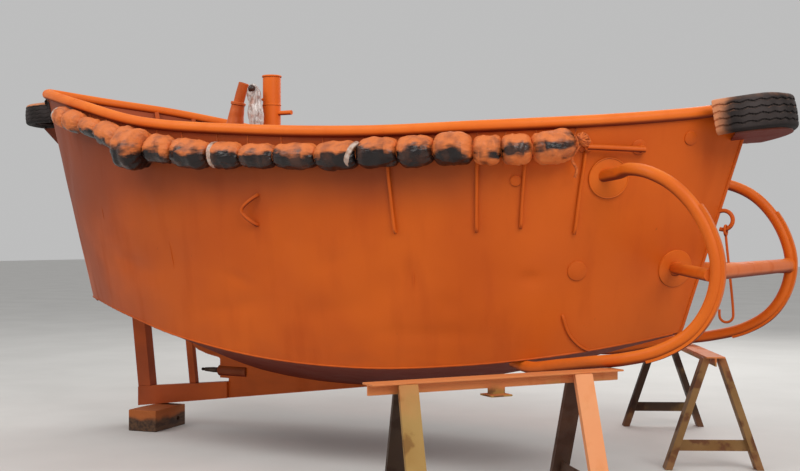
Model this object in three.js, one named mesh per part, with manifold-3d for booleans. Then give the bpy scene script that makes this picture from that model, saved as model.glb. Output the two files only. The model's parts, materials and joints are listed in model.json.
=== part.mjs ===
// Small double-ended steel push boat on two trestles and a timber block, in millimetres, bow to +X, +Z up.
// Lengths along the boat are measured from amidships, heights from the floor, breadths from the centreline.
import * as THREE from 'three';
import * as BufferGeometryUtils from 'three/addons/utils/BufferGeometryUtils.js';
import Module from 'manifold-3d';

const wasm = await Module();
wasm.setup();

const GAP = 0.3;

// Hull form: the two ends are alike in plan, the sheer sweeps up aft and the bottom rises at both ends.
const hull = {
  railMiddle: -80, railHalfLength: 2900, railHalfBreadth: 1200,
  chineMiddle: -55, chineHalfLength: 2430, chineHalfBreadth: 1000,
  endPower: 3, endHalfWidth: 9, plating: 12, bulge: 22, lines: 30,
};

// Heights of the rail, the chine and the bottom's centreline at stations from the stern (-1) to the bow (1).
const sheerTable = [
  { at: -1.0, rail: 2680, chine: 990, bottom: 975 },
  { at: -0.9, rail: 2622, chine: 1003, bottom: 890 },
  { at: -0.75, rail: 2545, chine: 993, bottom: 785 },
  { at: -0.55, rail: 2412, chine: 918, bottom: 630 },
  { at: -0.3, rail: 2240, chine: 790, bottom: 470 },
  { at: 0.0, rail: 2150, chine: 683, bottom: 412 },
  { at: 0.3, rail: 2105, chine: 655, bottom: 455 },
  { at: 0.55, rail: 2118, chine: 690, bottom: 575 },
  { at: 0.75, rail: 2148, chine: 748, bottom: 690 },
  { at: 0.9, rail: 2200, chine: 818, bottom: 795 },
  { at: 1.0, rail: 2265, chine: 878, bottom: 868 },
];

const pipe = { rail: 32, hoop: 36.5, cross: 44.5, strut: 35, sides: 12 };

const paint = {
  orange: new THREE.MeshStandardMaterial({ color: 0xc8561a, roughness: 0.55, metalness: 0.0 }),
  ochre: new THREE.MeshStandardMaterial({ color: 0xb8862c, roughness: 0.8, metalness: 0.0 }),
  rubber: new THREE.MeshStandardMaterial({ color: 0x2a2624, roughness: 0.85, metalness: 0.0 }),
  wrap: new THREE.MeshStandardMaterial({ color: 0x3a2a20, roughness: 0.4, metalness: 0.0 }),
  film: new THREE.MeshStandardMaterial({ color: 0xcfc6bc, roughness: 0.3, metalness: 0.0 }),
  timber: new THREE.MeshStandardMaterial({ color: 0x7a5a3c, roughness: 0.9, metalness: 0.0 }),
  iron: new THREE.MeshStandardMaterial({ color: 0x55585a, roughness: 0.6, metalness: 0.6 }),
};

// Closed solids and boolean work

function toSolid(geometry) {
  const bare = geometry.clone();
  bare.deleteAttribute('normal');
  bare.deleteAttribute('uv');
  const merged = BufferGeometryUtils.mergeVertices(bare, 0.001);
  const vertProperties = Float32Array.from(merged.attributes.position.array);
  const triVerts = Uint32Array.from(merged.index.array);
  if (signedVolume(vertProperties, triVerts) < 0) triVerts.reverse();
  const mesh = new wasm.Mesh({ numProp: 3, vertProperties, triVerts });
  mesh.merge();
  return new wasm.Manifold(mesh);
}

// Negative where the faces point inwards
function signedVolume(positions, triangles) {
  const corner = (index) => new THREE.Vector3().fromArray(positions, triangles[index] * 3);
  let volume = 0;
  for (let start = 0; start < triangles.length; start += 3) {
    volume += corner(start).dot(corner(start + 1).cross(corner(start + 2))) / 6;
  }
  return volume;
}

function toGeometry(solid) {
  const mesh = solid.getMesh();
  const geometry = new THREE.BufferGeometry();
  geometry.setAttribute('position', new THREE.BufferAttribute(mesh.vertProperties, 3));
  geometry.setIndex(new THREE.BufferAttribute(mesh.triVerts, 1));
  return geometry.toNonIndexed();
}

function unite(solids) {
  return solids.reduce((whole, solid) => whole.add(solid));
}

function boxAt(lengthX, widthY, heightZ, x, y, z) {
  return toSolid(new THREE.BoxGeometry(lengthX, widthY, heightZ).translate(x, y, z));
}

// A body turned about its own axis, from a profile of radius and height pairs
function turned(profile, sides) {
  return new THREE.LatheGeometry(profile.map(([radius, height]) => new THREE.Vector2(radius, height)), sides);
}

// A straight round bar whose radius changes evenly from its first end to its last
function taperedBar(from, to, firstRadius, lastRadius, sides = pipe.sides) {
  const axis = new THREE.Vector3().subVectors(to, from);
  const geometry = new THREE.CylinderGeometry(lastRadius, firstRadius, axis.length(), sides);
  const unturned = new THREE.Vector3(0, 1, 0);
  geometry.applyQuaternion(new THREE.Quaternion().setFromUnitVectors(unturned, axis.clone().normalize()));
  const middle = new THREE.Vector3().addVectors(from, to).multiplyScalar(0.5);
  return toSolid(geometry.translate(middle.x, middle.y, middle.z));
}

function rodBetween(from, to, radius, sides) {
  return taperedBar(from, to, radius, radius, sides);
}

// A round bar along a curve, as one ring of points for each step, square to the curve.
function barAlong(curve, radius, steps, sides = pipe.sides) {
  const up = new THREE.Vector3(0.11, 0.17, 1).normalize();
  const rings = [];
  for (let step = 0; step <= steps; step += 1) {
    const along = step / steps;
    const tangent = curve.getTangentAt(along);
    const side = new THREE.Vector3().crossVectors(up, tangent).normalize();
    const over = new THREE.Vector3().crossVectors(tangent, side).normalize();
    const centre = curve.getPointAt(along);
    rings.push(Array.from({ length: sides }, (_, index) => {
      const angle = (index / sides) * Math.PI * 2;
      return centre.clone()
        .addScaledVector(side, Math.cos(angle) * radius)
        .addScaledVector(over, Math.sin(angle) * radius);
    }));
  }
  return skin(rings);
}

// Closes a body over rings that each have the same number of points.
function skin(rings) {
  const count = rings[0].length;
  const positions = rings.flat().flatMap((point) => [point.x, point.y, point.z]);
  const triangles = [];
  for (let ring = 0; ring < rings.length - 1; ring += 1) {
    for (let side = 0; side < count; side += 1) {
      const next = (side + 1) % count;
      const a = ring * count + side;
      const b = ring * count + next;
      const c = (ring + 1) * count + side;
      const d = (ring + 1) * count + next;
      triangles.push(a, b, d, a, d, c);
    }
  }
  const last = (rings.length - 1) * count;
  for (let side = 1; side < count - 1; side += 1) {
    triangles.push(0, side + 1, side);
    triangles.push(last, last + side, last + side + 1);
  }
  const geometry = new THREE.BufferGeometry();
  geometry.setAttribute('position', new THREE.Float32BufferAttribute(positions, 3));
  geometry.setIndex(triangles);
  return toSolid(geometry);
}

function mirrored(solid) {
  return solid.mirror([0, 1, 0]);
}

function named(name, solid, material) {
  const mesh = new THREE.Mesh(toGeometry(solid), material);
  mesh.name = name;
  return mesh;
}

// Hull lines

function heightAt(column, at) {
  const rows = sheerTable;
  let row = 0;
  while (row < rows.length - 2 && at > rows[row + 1].at) row += 1;
  const before = rows[Math.max(row - 1, 0)];
  const left = rows[row];
  const right = rows[row + 1];
  const after = rows[Math.min(row + 2, rows.length - 1)];
  const span = right.at - left.at;
  const t = (at - left.at) / span;
  const slopeLeft = ((right[column] - before[column]) / (right.at - before.at)) * span;
  const slopeRight = ((after[column] - left[column]) / (after.at - left.at)) * span;
  const square = t * t;
  const cube = square * t;
  return (2 * cube - 3 * square + 1) * left[column] + (cube - 2 * square + t) * slopeLeft
    + (3 * square - 2 * cube) * right[column] + (cube - square) * slopeRight;
}

function fullness(at) {
  return 1 - Math.abs(at) ** hull.endPower;
}

function railPoint(at, side = 1) {
  const x = hull.railMiddle + hull.railHalfLength * at;
  return new THREE.Vector3(x, side * hull.railHalfBreadth * fullness(at), heightAt('rail', at));
}

function chinePoint(at, side = 1) {
  const x = hull.chineMiddle + hull.chineHalfLength * at;
  return new THREE.Vector3(x, side * hull.chineHalfBreadth * fullness(at), heightAt('chine', at));
}

function bottomPoint(at) {
  return new THREE.Vector3(hull.chineMiddle + hull.chineHalfLength * at, 0, heightAt('bottom', at));
}

// Stations crowd toward the ends, where the plan turns fastest.
function stationAt(index) {
  return Math.sin((index / hull.lines - 0.5) * Math.PI);
}

// The space inside the hull's outer faces, grown by an offset or shrunk by a negative one.
function hullSpace(offset, above = 0) {
  const rings = [];
  for (let index = 0; index <= hull.lines; index += 1) {
    const at = stationAt(index);
    const endShift = offset * 1.4 * at;
    const half = (point) => Math.max(point.y + offset, hull.endHalfWidth + Math.min(offset, 0) * 0.4);
    const rail = railPoint(at);
    const chine = chinePoint(at);
    const bottom = bottomPoint(at);
    const railHalf = half(rail);
    const chineHalf = half(chine);
    const middle = new THREE.Vector3().addVectors(rail, chine).multiplyScalar(0.5);
    const middleHalf = (railHalf + chineHalf) / 2 + hull.bulge * fullness(at);
    const chineZ = chine.z - offset * 0.6;
    const bottomZ = Math.min(bottom.z - offset, chineZ - 1);
    const ring = [
      [rail.x, railHalf, rail.z + above],
      [middle.x, middleHalf, middle.z],
      [chine.x, chineHalf, chineZ],
      [bottom.x, 0, bottomZ],
      [chine.x, -chineHalf, chineZ],
      [middle.x, -middleHalf, middle.z],
      [rail.x, -railHalf, rail.z + above],
    ];
    rings.push(ring.map(([x, y, z]) => new THREE.Vector3(x + endShift, y, z)));
  }
  return skin(rings);
}

// Small fittings welded to the side, placed by station and by share of the way from the rail to the chine
const hangers = [
  { from: [0.352, 0.2], to: [0.375, 0.42] },
  { from: [0.538, 0.2], to: [0.552, 0.43] },
  { from: [0.63, 0.2], to: [0.639, 0.425] },
  { from: [0.735, 0.2], to: [0.743, 0.467] },
];
const sideHandle = {
  upper: [0.021, 0.279], bend: [-0.017, 0.349], lower: [0.014, 0.41], standOff: 46, radius: 9,
};
const chineRod = {
  stations: [[0.751, 0.825], [0.76, 0.871], [0.774, 0.92], [0.795, 0.966], [0.815, 0.995]],
  standOff: 8, radius: 9,
};
const hanger = { standOff: 13, radius: 9 };
const bosses = [
  { at: 0.617, down: 0.23, radius: 34, thickness: 12 },
  { at: 0.763, down: 0.634, radius: 60, thickness: 12 },
  { at: 0.911, down: 0.107, radius: 43, thickness: 12 },
  { at: 0.733, down: 0.1, radius: 46, thickness: 7 },
  { at: 0.827, down: 0.125, radius: 46, thickness: 7 },
];

function onSide([at, down], standOff, side) {
  const spot = railToChine(at, down, side);
  return spot.point.addScaledVector(spot.normal, standOff);
}

// A bent rod with both ends sunk in the plating
function sideRod(stations, standOff, radius, side) {
  const first = onSide(stations[0], -hull.plating, side);
  const last = onSide(stations[stations.length - 1], -hull.plating, side);
  const between = stations.map((station) => onSide(station, standOff, side));
  return barAlong(new THREE.CatmullRomCurve3([first, ...between, last], false, 'centripetal'), radius, 7, 6);
}

function sideFittings(side) {
  const middle = ([at, down], [nextAt, nextDown]) => [(at + nextAt) / 2, (down + nextDown) / 2];
  const rods = hangers.map(({ from, to }) => (
    sideRod([from, middle(from, to), to], hanger.standOff, hanger.radius, side)));
  const handleCurve = new THREE.CatmullRomCurve3([
    onSide(sideHandle.upper, -hull.plating, side),
    onSide(sideHandle.upper, 12, side),
    onSide(sideHandle.bend, sideHandle.standOff, side),
    onSide(sideHandle.lower, 12, side),
    onSide(sideHandle.lower, -hull.plating, side),
  ], false, 'centripetal');
  const handle = barAlong(handleCurve, sideHandle.radius, 12, 6);
  const weldedRod = sideRod(chineRod.stations, chineRod.standOff, chineRod.radius, side);
  const discs = bosses.map(({ at, down, radius, thickness }) => {
    const spot = railToChine(at, down, side);
    return discOn(spot.point, spot.normal, thickness, radius, 12);
  });
  return unite([...rods, handle, weldedRod, ...discs]);
}

// A solid grown or shrunk by nudging it each way, so that a piece cut to it keeps clear of the solid's faces
const nudge = 0.5;
const nudges = [[nudge, 0, 0], [-nudge, 0, 0], [0, nudge, 0], [0, -nudge, 0], [0, 0, nudge], [0, 0, -nudge]];

function swollen(solid) {
  return nudges.reduce((whole, shift) => whole.add(solid.translate(shift)), solid);
}

function shrunk(solid) {
  return nudges.reduce((rest, shift) => rest.intersect(solid.translate(shift)), solid);
}

const outerHalf = hullSpace(0);
const innerHalf = hullSpace(-hull.plating, 400);
const outerSpace = outerHalf.add(mirrored(outerHalf));
const innerSpace = innerHalf.intersect(mirrored(innerHalf));
const fittings = sideFittings(-1).add(mirrored(sideFittings(-1)));
const clearOfHull = swollen(outerSpace.add(fittings));
const clearInside = shrunk(innerSpace);

// Rail pipe, in a starboard and a port half that meet at the stem and at the stern

function railCurve(side) {
  const spans = 24;
  const points = Array.from({ length: spans + 1 }, (_, index) => (
    railPoint(Math.sin((index / spans - 0.5) * Math.PI), side)));
  return new THREE.CatmullRomCurve3(points);
}

function railBar(radius) {
  return barAlong(railCurve(-1), radius, 44);
}

function railPipe() {
  return railBar(pipe.rail).intersect(boxAt(7000, 2000, 2000, 0, -1000 - GAP / 2, 2300));
}

const railClearance = railBar(pipe.rail + GAP).add(mirrored(railBar(pipe.rail + GAP)));

// The plating is welded up from three lengths, which meet at two seams across the boat
const seam = { aft: -1500, fore: 1640, stern: -3100, stem: 3100 };
const plating = outerSpace.add(fittings).subtract(innerSpace).subtract(railClearance);

function hullLength(from, to) {
  return plating.intersect(boxAt(to - from - GAP, 3000, 3000, (from + to) / 2, 0, 1500));
}

// Decks and bulkheads inside the hull, each fitted to the plating

const decks = {
  thickness: 8,
  fore: { from: 1750, to: 2800, height: 1930 },
  aft: { from: -2900, to: -2050, height: 2250 },
  sole: { height: 1080 },
};

function deckPlate(from, to, height) {
  const plate = boxAt(to - from, 3000, decks.thickness, (from + to) / 2, 0, height);
  return plate.intersect(clearInside);
}

function bulkhead(x, height) {
  const plate = boxAt(decks.thickness, 3000, 3000, x, 0, height - decks.thickness / 2 - GAP - 1500);
  return plate.intersect(clearInside);
}

// Engine casing on the sole, with a lid that lifts about its forward edge

const casing = {
  from: -1450, to: -150, halfWidth: 420, plate: 6, top: 1800, lid: 8, hatchFrom: -590, hatchRim: 30,
  hingeRadius: 10, knuckles: [-250, 250], knuckleHalf: 30, ear: 12,
};

function engineCasing() {
  const foot = decks.sole.height + decks.thickness / 2 + GAP;
  const x = (casing.from + casing.to) / 2;
  const innerLength = casing.to - casing.from - 2 * casing.plate;
  const innerWidth = (casing.halfWidth - casing.plate) * 2;
  const innerTop = casing.top - casing.plate;
  const hatchLength = casing.to - casing.hatchFrom - 2 * casing.hatchRim;
  const hatchMiddle = (casing.to + casing.hatchFrom) / 2;
  const length = casing.to - casing.from;
  const outer = boxAt(length, casing.halfWidth * 2, casing.top - foot, x, 0, (casing.top + foot) / 2);
  return outer
    .subtract(boxAt(innerLength, innerWidth, innerTop - foot + 1, x, 0, (innerTop + foot - 1) / 2))
    .subtract(boxAt(hatchLength, innerWidth - 2 * casing.hatchRim, 60, hatchMiddle, 0, casing.top))
    .subtract(stackSpace(stack.radius + GAP));
}

const lidHinge = { x: casing.to + 24, z: casing.top + 18 };

function casingLid() {
  const overhang = 14;
  const foreEdge = casing.to - 2;
  const underside = casing.top + GAP;
  const length = foreEdge - casing.hatchFrom;
  const width = (casing.halfWidth + overhang) * 2;
  const middle = casing.hatchFrom + length / 2;
  const plate = boxAt(length, width, casing.lid, middle, 0, underside + casing.lid / 2);
  const half = casing.knuckleHalf;
  const knuckles = casing.knuckles.flatMap((y) => [
    boxAt(lidHinge.x - foreEdge + 10, half * 2, 7, (lidHinge.x + foreEdge - 10) / 2, y, lidHinge.z - 9),
    rodBetween(
      new THREE.Vector3(lidHinge.x, y - half, lidHinge.z),
      new THREE.Vector3(lidHinge.x, y + half, lidHinge.z),
      casing.hingeRadius,
    ),
  ]);
  return unite([plate, ...knuckles]);
}

// Two ears beside each knuckle, on a strap that is welded to the casing's forward wall
function lidEars() {
  const foot = casing.top - 60;
  const head = lidHinge.z + casing.hingeRadius;
  const ears = casing.knuckles.flatMap((y) => [-1, 1].map((side) => {
    const middle = y + side * (casing.knuckleHalf + casing.ear / 2 + GAP);
    return boxAt(30, casing.ear, head - foot, lidHinge.x - 4, middle, (head + foot) / 2);
  }));
  const strap = boxAt(10, 640, 40, casing.to + GAP + 5, 0, casing.top - 50);
  return unite([strap, ...ears]);
}

// Exhaust stack, the bent vent pipe beside it and the wrapped control stand

const stack = {
  x: -722, y: 0, radius: 67, rimRadius: 74, top: 2680, stubZ: 2396, stubReach: 178, stubRadius: 17,
};

function stackSpace(radius) {
  const foot = new THREE.Vector3(stack.x, stack.y, 1200);
  return rodBetween(foot, foot.clone().setZ(2800), radius, 24);
}

function exhaustStack() {
  const profile = [
    [0, engineTop() + GAP], [stack.radius, engineTop() + GAP], [stack.radius, stack.top - 12],
    [stack.rimRadius, stack.top - 12],
    [stack.rimRadius, stack.top], [stack.radius - 7, stack.top], [stack.radius - 7, stack.top - 420],
    [0, stack.top - 420],
  ];
  const geometry = turned(profile, 24).rotateX(Math.PI / 2).translate(stack.x, stack.y, 0);
  const stubRoot = new THREE.Vector3(stack.x, stack.y, stack.stubZ);
  const stubEnd = new THREE.Vector3(stack.x + stack.stubReach, stack.y, stack.stubZ);
  const stub = rodBetween(stubRoot, stubEnd, stack.stubRadius);
  return toSolid(geometry).add(stub.subtract(stackSpace(stack.radius - 4)));
}

const engine = { length: 980, width: 560, height: 540, x: -830 };

function engineTop() {
  return decks.sole.height + decks.thickness / 2 + GAP + engine.height;
}

function engineBlock() {
  return boxAt(engine.length, engine.width, engine.height, engine.x, 0, engineTop() - engine.height / 2);
}

// A vent pipe on a flange on the casing's fixed aft top: it leans forward, narrows and ends in a bent spout
const vent = {
  bends: [[-1170, 1780], [-1068, 2311], [-1030, 2500]], rootRadius: 74, kneeRadius: 67, neckRadius: 48,
  collar: 57, collarHeight: 24,
  spout: [[-1030, 2490], [-1004, 2570], [-978, 2640]], spoutRadius: 40, wall: 6, boreDepth: 160,
  flange: 95, flangeThickness: 12,
};

function inLine([x, z]) {
  return new THREE.Vector3(x, 0, z);
}

function ventPipe() {
  const [root, knee, neck] = vent.bends.map(inLine);
  const [spoutRoot, spoutKnee, spoutEnd] = vent.spout.map(inLine);
  const rising = new THREE.Vector3().subVectors(neck, knee).normalize();
  const pouring = new THREE.Vector3().subVectors(spoutEnd, spoutKnee).normalize();
  const mouthFloor = spoutEnd.clone().addScaledVector(pouring, -vent.boreDepth);
  const aboveMouth = spoutEnd.clone().addScaledVector(pouring, 10);
  const flangeTop = inLine([vent.bends[0][0], casing.top + vent.flangeThickness]);
  const aboveCasing = boxAt(800, 800, 2000, knee.x, 0, casing.top + GAP + 1000);
  return unite([
    taperedBar(root, knee, vent.rootRadius, vent.kneeRadius, 18),
    taperedBar(knee.clone().addScaledVector(rising, -8), neck, vent.kneeRadius, vent.neckRadius, 18),
    rodBetween(neck.clone().addScaledVector(rising, -vent.collarHeight), neck, vent.collar, 18),
    rodBetween(spoutRoot, spoutKnee, vent.spoutRadius, 18),
    rodBetween(spoutKnee.clone().addScaledVector(pouring, -6), spoutEnd, vent.spoutRadius, 18),
    rodBetween(root, flangeTop, vent.flange, 20),
  ])
    .subtract(rodBetween(mouthFloor, aboveMouth, vent.spoutRadius - vent.wall, 18))
    .intersect(aboveCasing);
}

// A control stand wrapped in clear film that leans aft, as rings of centre, height and radius
const stand = {
  y: -145, sides: 16, widthScale: 0.85,
  rings: [
    [-768, 0, 80], [-768, 12, 80], [-766, 30, 40], [-760, 240, 44], [-756, 380, 60], [-756, 500, 56],
    [-764, 590, 64], [-774, 660, 52], [-788, 740, 58], [-798, 785, 40], [-802, 805, 18],
  ],
};

function controlStand() {
  const rings = stand.rings.map(([x, height, radius]) => (
    Array.from({ length: stand.sides }, (_, index) => {
      const angle = (index / stand.sides) * Math.PI * 2;
      return new THREE.Vector3(
        x + Math.cos(angle) * radius,
        stand.y + Math.sin(angle) * radius * stand.widthScale,
        casing.top + GAP + height,
      );
    })));
  return skin(rings);
}

// Stern frame under the hull: deadwood with a keel strip aft of it, sole piece, aft post and middle post

const frame = {
  halfThickness: 22, heelX: -1985, heelZ: 135, shoeTop: 150,
  aftPostWidth: 125, middlePostX: -1485, middlePostWidth: 62, deadwoodX: -1105, deadwoodEnd: 120,
  keelSlope: 0.128, bossX: -1187,
  keelStrip: [[-1452, 636], [-1400, 603], [-1312, 574], [-1250, 562], [-1198, 552], [-1187, 540]],
};

function keelLine(x) {
  return frame.heelZ + (x - frame.heelX) * frame.keelSlope;
}

function uprightPlate(outline, halfThickness) {
  const shape = new THREE.Shape(outline.map(([x, z]) => new THREE.Vector2(x, z)));
  const geometry = new THREE.ExtrudeGeometry(shape, { depth: halfThickness * 2, bevelEnabled: false });
  return toSolid(geometry.rotateX(Math.PI / 2).translate(0, halfThickness, 0));
}

function deadwood() {
  const fore = frame.deadwoodEnd;
  const shoulder = keelLine(frame.deadwoodX) + frame.shoeTop;
  const outline = [
    [frame.deadwoodX, keelLine(frame.deadwoodX)], [fore, keelLine(fore)], [fore, 900],
    [frame.keelStrip[0][0], 900], ...frame.keelStrip, [frame.bossX, shoulder], [frame.deadwoodX, shoulder],
  ];
  const plate = uprightPlate(outline, frame.halfThickness).subtract(clearOfHull);
  return plate.subtract(shaftLength(shaft.tubeAft - 100, shaft.tubeFore + GAP, shaft.tubeRadius + GAP));
}

function solePiece() {
  const aft = frame.heelX;
  const fore = frame.deadwoodX - GAP;
  const outline = [
    [aft, keelLine(aft)], [fore, keelLine(fore)], [fore, keelLine(fore) + frame.shoeTop - 25],
    [aft, keelLine(aft) + frame.shoeTop],
  ];
  return uprightPlate(outline, 45);
}

function shoeTopAt(x) {
  const share = (x - frame.heelX) / (frame.deadwoodX - GAP - frame.heelX);
  return keelLine(x) + frame.shoeTop - 25 * share + GAP;
}

function sternPost(x, width, lean, halfThickness) {
  const top = 1150;
  const rise = top - shoeTopAt(x);
  const outline = [
    [x, shoeTopAt(x)], [x + width, shoeTopAt(x + width)],
    [x + width - lean * rise, top], [x - lean * rise, top],
  ];
  return uprightPlate(outline, halfThickness).subtract(clearOfHull);
}

// Stern tube in the deadwood's aft edge, and the propeller shaft's bare tapered end in its bore
const shaft = {
  z: 452, radius: 20, bore: 20.4, tubeRadius: 42, tubeAft: -1205, tubeFore: -940, end: -1375, taper: 110,
};

function shaftLength(from, to, radius) {
  return rodBetween(new THREE.Vector3(from, 0, shaft.z), new THREE.Vector3(to, 0, shaft.z), radius, 20);
}

function sternTube() {
  return shaftLength(shaft.tubeAft, shaft.tubeFore, shaft.tubeRadius)
    .subtract(shaftLength(shaft.tubeAft - 1, shaft.tubeFore - 12, shaft.bore));
}

function propellerShaft() {
  const fore = shaft.tubeFore - 15;
  const profile = [
    [0, shaft.end], [11, shaft.end], [11, shaft.end + 30], [14, shaft.end + 30],
    [shaft.radius, shaft.end + shaft.taper], [shaft.radius, fore], [0, fore],
  ];
  return toSolid(turned(profile, 20).rotateZ(-Math.PI / 2).translate(0, 0, shaft.z));
}

// Push hoops at the bow: each pipe leaves the hull's side, turns round the front and runs back underneath

const hoop = {
  plane: 975, front: 2848, middleZ: 1305, discRadius: 120, discThickness: 9, pipeAt: 0.777, pipeDown: 0.234,
  rootAt: 0.786, rootDown: 0.245, stripFrom: 0.31, stripTo: 0.645,
};

function hoopCurve(side) {
  const leaving = railToChine(hoop.pipeAt, hoop.pipeDown, side).point;
  const upper = [[2210, 700, 1838], [2335, 868, 1848], [2470, 955, 1822]];
  const turn = [
    [2600, 1755], [2712, 1645], [2802, 1490], [hoop.front, hoop.middleZ],
    [2815, 1115], [2712, 955], [2540, 846],
  ];
  const lower = [[2330, 962, 788], [2120, 905, 756], [1880, 800, 717], [1660, 690, 683], [1500, 580, 700]];
  const inside = new THREE.Vector3(...upper[0]).setY(side * upper[0][1]).sub(leaving).multiplyScalar(-0.5);
  const points = [
    leaving.clone().add(inside),
    leaving,
    ...upper.map(([x, y, z]) => new THREE.Vector3(x, side * y, z)),
    ...turn.map(([x, z]) => new THREE.Vector3(x, side * hoop.plane, z)),
    ...lower.map(([x, y, z]) => new THREE.Vector3(x, side * y, z)),
  ];
  return new THREE.CatmullRomCurve3(points, false, 'centripetal');
}

function discOn(centre, outward, thickness, radius, sides = 24) {
  const inner = centre.clone().addScaledVector(outward, -hull.plating / 2);
  const outer = centre.clone().addScaledVector(outward, thickness);
  return rodBetween(inner, outer, radius, sides);
}

function pushHoop(side) {
  const bar = barAlong(hoopCurve(side), pipe.hoop, 44);
  const root = railToChine(hoop.rootAt, hoop.rootDown, side);
  const disc = discOn(root.point, root.normal, hoop.discThickness, hoop.discRadius);
  const wearStrip = wearStripOn(side);
  return unite([bar, disc, wearStrip]).subtract(clearOfHull);
}

// A flat strip welded on the hoop's outer face, from the front's upper turn to the lower one
function wearStripOn(side) {
  const curve = hoopCurve(side);
  const rings = [];
  for (let step = 0; step <= 22; step += 1) {
    const along = hoop.stripFrom + ((hoop.stripTo - hoop.stripFrom) * step) / 22;
    const tangent = curve.getTangentAt(along);
    const across = new THREE.Vector3(0, 1, 0);
    const out = new THREE.Vector3().crossVectors(tangent, across).normalize();
    const centre = curve.getPointAt(along);
    const corner = (depth, half) => centre.clone().addScaledVector(out, depth).addScaledVector(across, half);
    rings.push([corner(pipe.hoop + 9, -25), corner(pipe.hoop + 9, 25), corner(24, 25), corner(24, -25)]);
  }
  return skin(rings);
}

// A point on the hull's side between the rail (0) and the chine (1), with the outward normal there
function railToChine(at, down, side) {
  const pick = (station, share) => {
    const rail = railPoint(station, side);
    const chine = chinePoint(station, side);
    const bulge = side * hull.bulge * fullness(station) * (1 - Math.abs(2 * share - 1));
    const point = new THREE.Vector3().lerpVectors(rail, chine, share);
    point.y += bulge;
    return point;
  };
  const step = 0.01;
  const point = pick(at, down);
  const forward = new THREE.Vector3().subVectors(pick(at + step, down), pick(at - step, down));
  const downward = new THREE.Vector3().subVectors(pick(at, down + step), pick(at, down - step));
  const normal = new THREE.Vector3().crossVectors(forward, downward).normalize();
  if (normal.y * side < 0) normal.negate();
  return { point, normal };
}

const strut = { at: 0.95, down: 0.69, hoopZ: 1260, hoopX: 2812 };
const crossBarAt = { x: hoop.front - 10, z: 1279 };

function hoopStrut(side) {
  const root = railToChine(strut.at, strut.down, side);
  const tip = new THREE.Vector3(strut.hoopX, side * hoop.plane, strut.hoopZ);
  const start = root.point.clone().addScaledVector(root.normal, -40);
  const bar = rodBetween(start, tip, pipe.strut);
  const disc = discOn(root.point, root.normal, hoop.discThickness, hoop.discRadius);
  return bar.add(disc).subtract(clearOfHull).subtract(crossBar(pipe.cross + GAP))
    .subtract(barAlong(hoopCurve(side), pipe.hoop + GAP, 44));
}

function crossBar(radius) {
  const left = new THREE.Vector3(crossBarAt.x, -hoop.plane, crossBarAt.z);
  const right = new THREE.Vector3(crossBarAt.x, hoop.plane, crossBarAt.z);
  return rodBetween(left, right, radius, 18);
}

function crossTube() {
  const bar = crossBar(pipe.cross);
  const near = barAlong(hoopCurve(-1), pipe.hoop + GAP, 44).add(wearStripOn(-1));
  const between = boxAt(400, hoop.plane * 2, 400, hoop.front, 0, hoop.middleZ);
  return bar.intersect(between).subtract(near).subtract(mirrored(near));
}

// Stem eye and the hook rod that hangs in it

const eye = { x: 2640, z: 1572, radius: 58, bar: 13, fromAngle: 170, toAngle: -112 };

function stemEye() {
  const arc = Array.from({ length: 19 }, (_, index) => {
    const angle = THREE.MathUtils.degToRad(eye.fromAngle + ((eye.toAngle - eye.fromAngle) * index) / 18);
    return new THREE.Vector3(eye.x + Math.cos(angle) * eye.radius, 0, eye.z + Math.sin(angle) * eye.radius);
  });
  const foot = new THREE.Vector3(eye.x - eye.radius - 60, 0, eye.z - 10);
  const curve = new THREE.CatmullRomCurve3([foot, ...arc], false, 'centripetal');
  return barAlong(curve, eye.bar, 24, 10).subtract(clearOfHull);
}

const hook = { x: 2655, lean: 45, pivotZ: 1516, loop: 30, loopDrop: 7.6, bar: 8, bottomZ: 947, bend: 42 };

// The rod's loop stands square to the stem eye and goes round its lowest stretch, and its foot turns up
function hookRod() {
  const loopZ = hook.pivotZ - hook.loopDrop;
  const gapAngle = 0.25;
  const loop = Array.from({ length: 17 }, (_, index) => {
    const angle = -Math.PI / 2 + gapAngle + (index / 16) * (Math.PI * 2 - 2 * gapAngle);
    return new THREE.Vector3(hook.x, Math.cos(angle) * hook.loop, loopZ + Math.sin(angle) * hook.loop);
  });
  const neck = new THREE.Vector3(hook.x, 0, loopZ - hook.loop + 4);
  const foot = new THREE.Vector3(hook.x + hook.lean, 0, hook.bottomZ + hook.bend);
  const bend = Array.from({ length: 9 }, (_, index) => {
    const angle = (index / 8) * Math.PI;
    const reach = (1 - Math.cos(angle)) * hook.bend;
    return new THREE.Vector3(foot.x - reach, 0, foot.z - Math.sin(angle) * hook.bend);
  });
  const tip = new THREE.Vector3(foot.x - 2 * hook.bend, 0, foot.z + 35);
  return unite([
    barAlong(new THREE.CatmullRomCurve3(loop), hook.bar, 26, 8),
    rodBetween(neck, foot, hook.bar, 8),
    barAlong(new THREE.CatmullRomCurve3([foot, ...bend.slice(1), tip]), hook.bar, 14, 8),
  ]);
}

// Fenders: half a tyre round the bow, a piece of tyre round the stern and wrapped rolls under the rail

const bowTyre = { x: 2682.65, z: 2165, radius: 396, halfWidth: 105, wall: 24, from: -90, to: 90, tilt: 9 };
const sternTyre = { x: -2650, z: 2468, radius: 430, halfWidth: 80, wall: 20, from: 80, to: 280, tilt: 0 };

// Leans a piece back about the middle of its tyre, so that its forward side rises
function leaned(solid, tyre) {
  return solid.translate([-tyre.x, 0, -tyre.z]).rotate([0, -tyre.tilt, 0]).translate([tyre.x, 0, tyre.z]);
}

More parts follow.
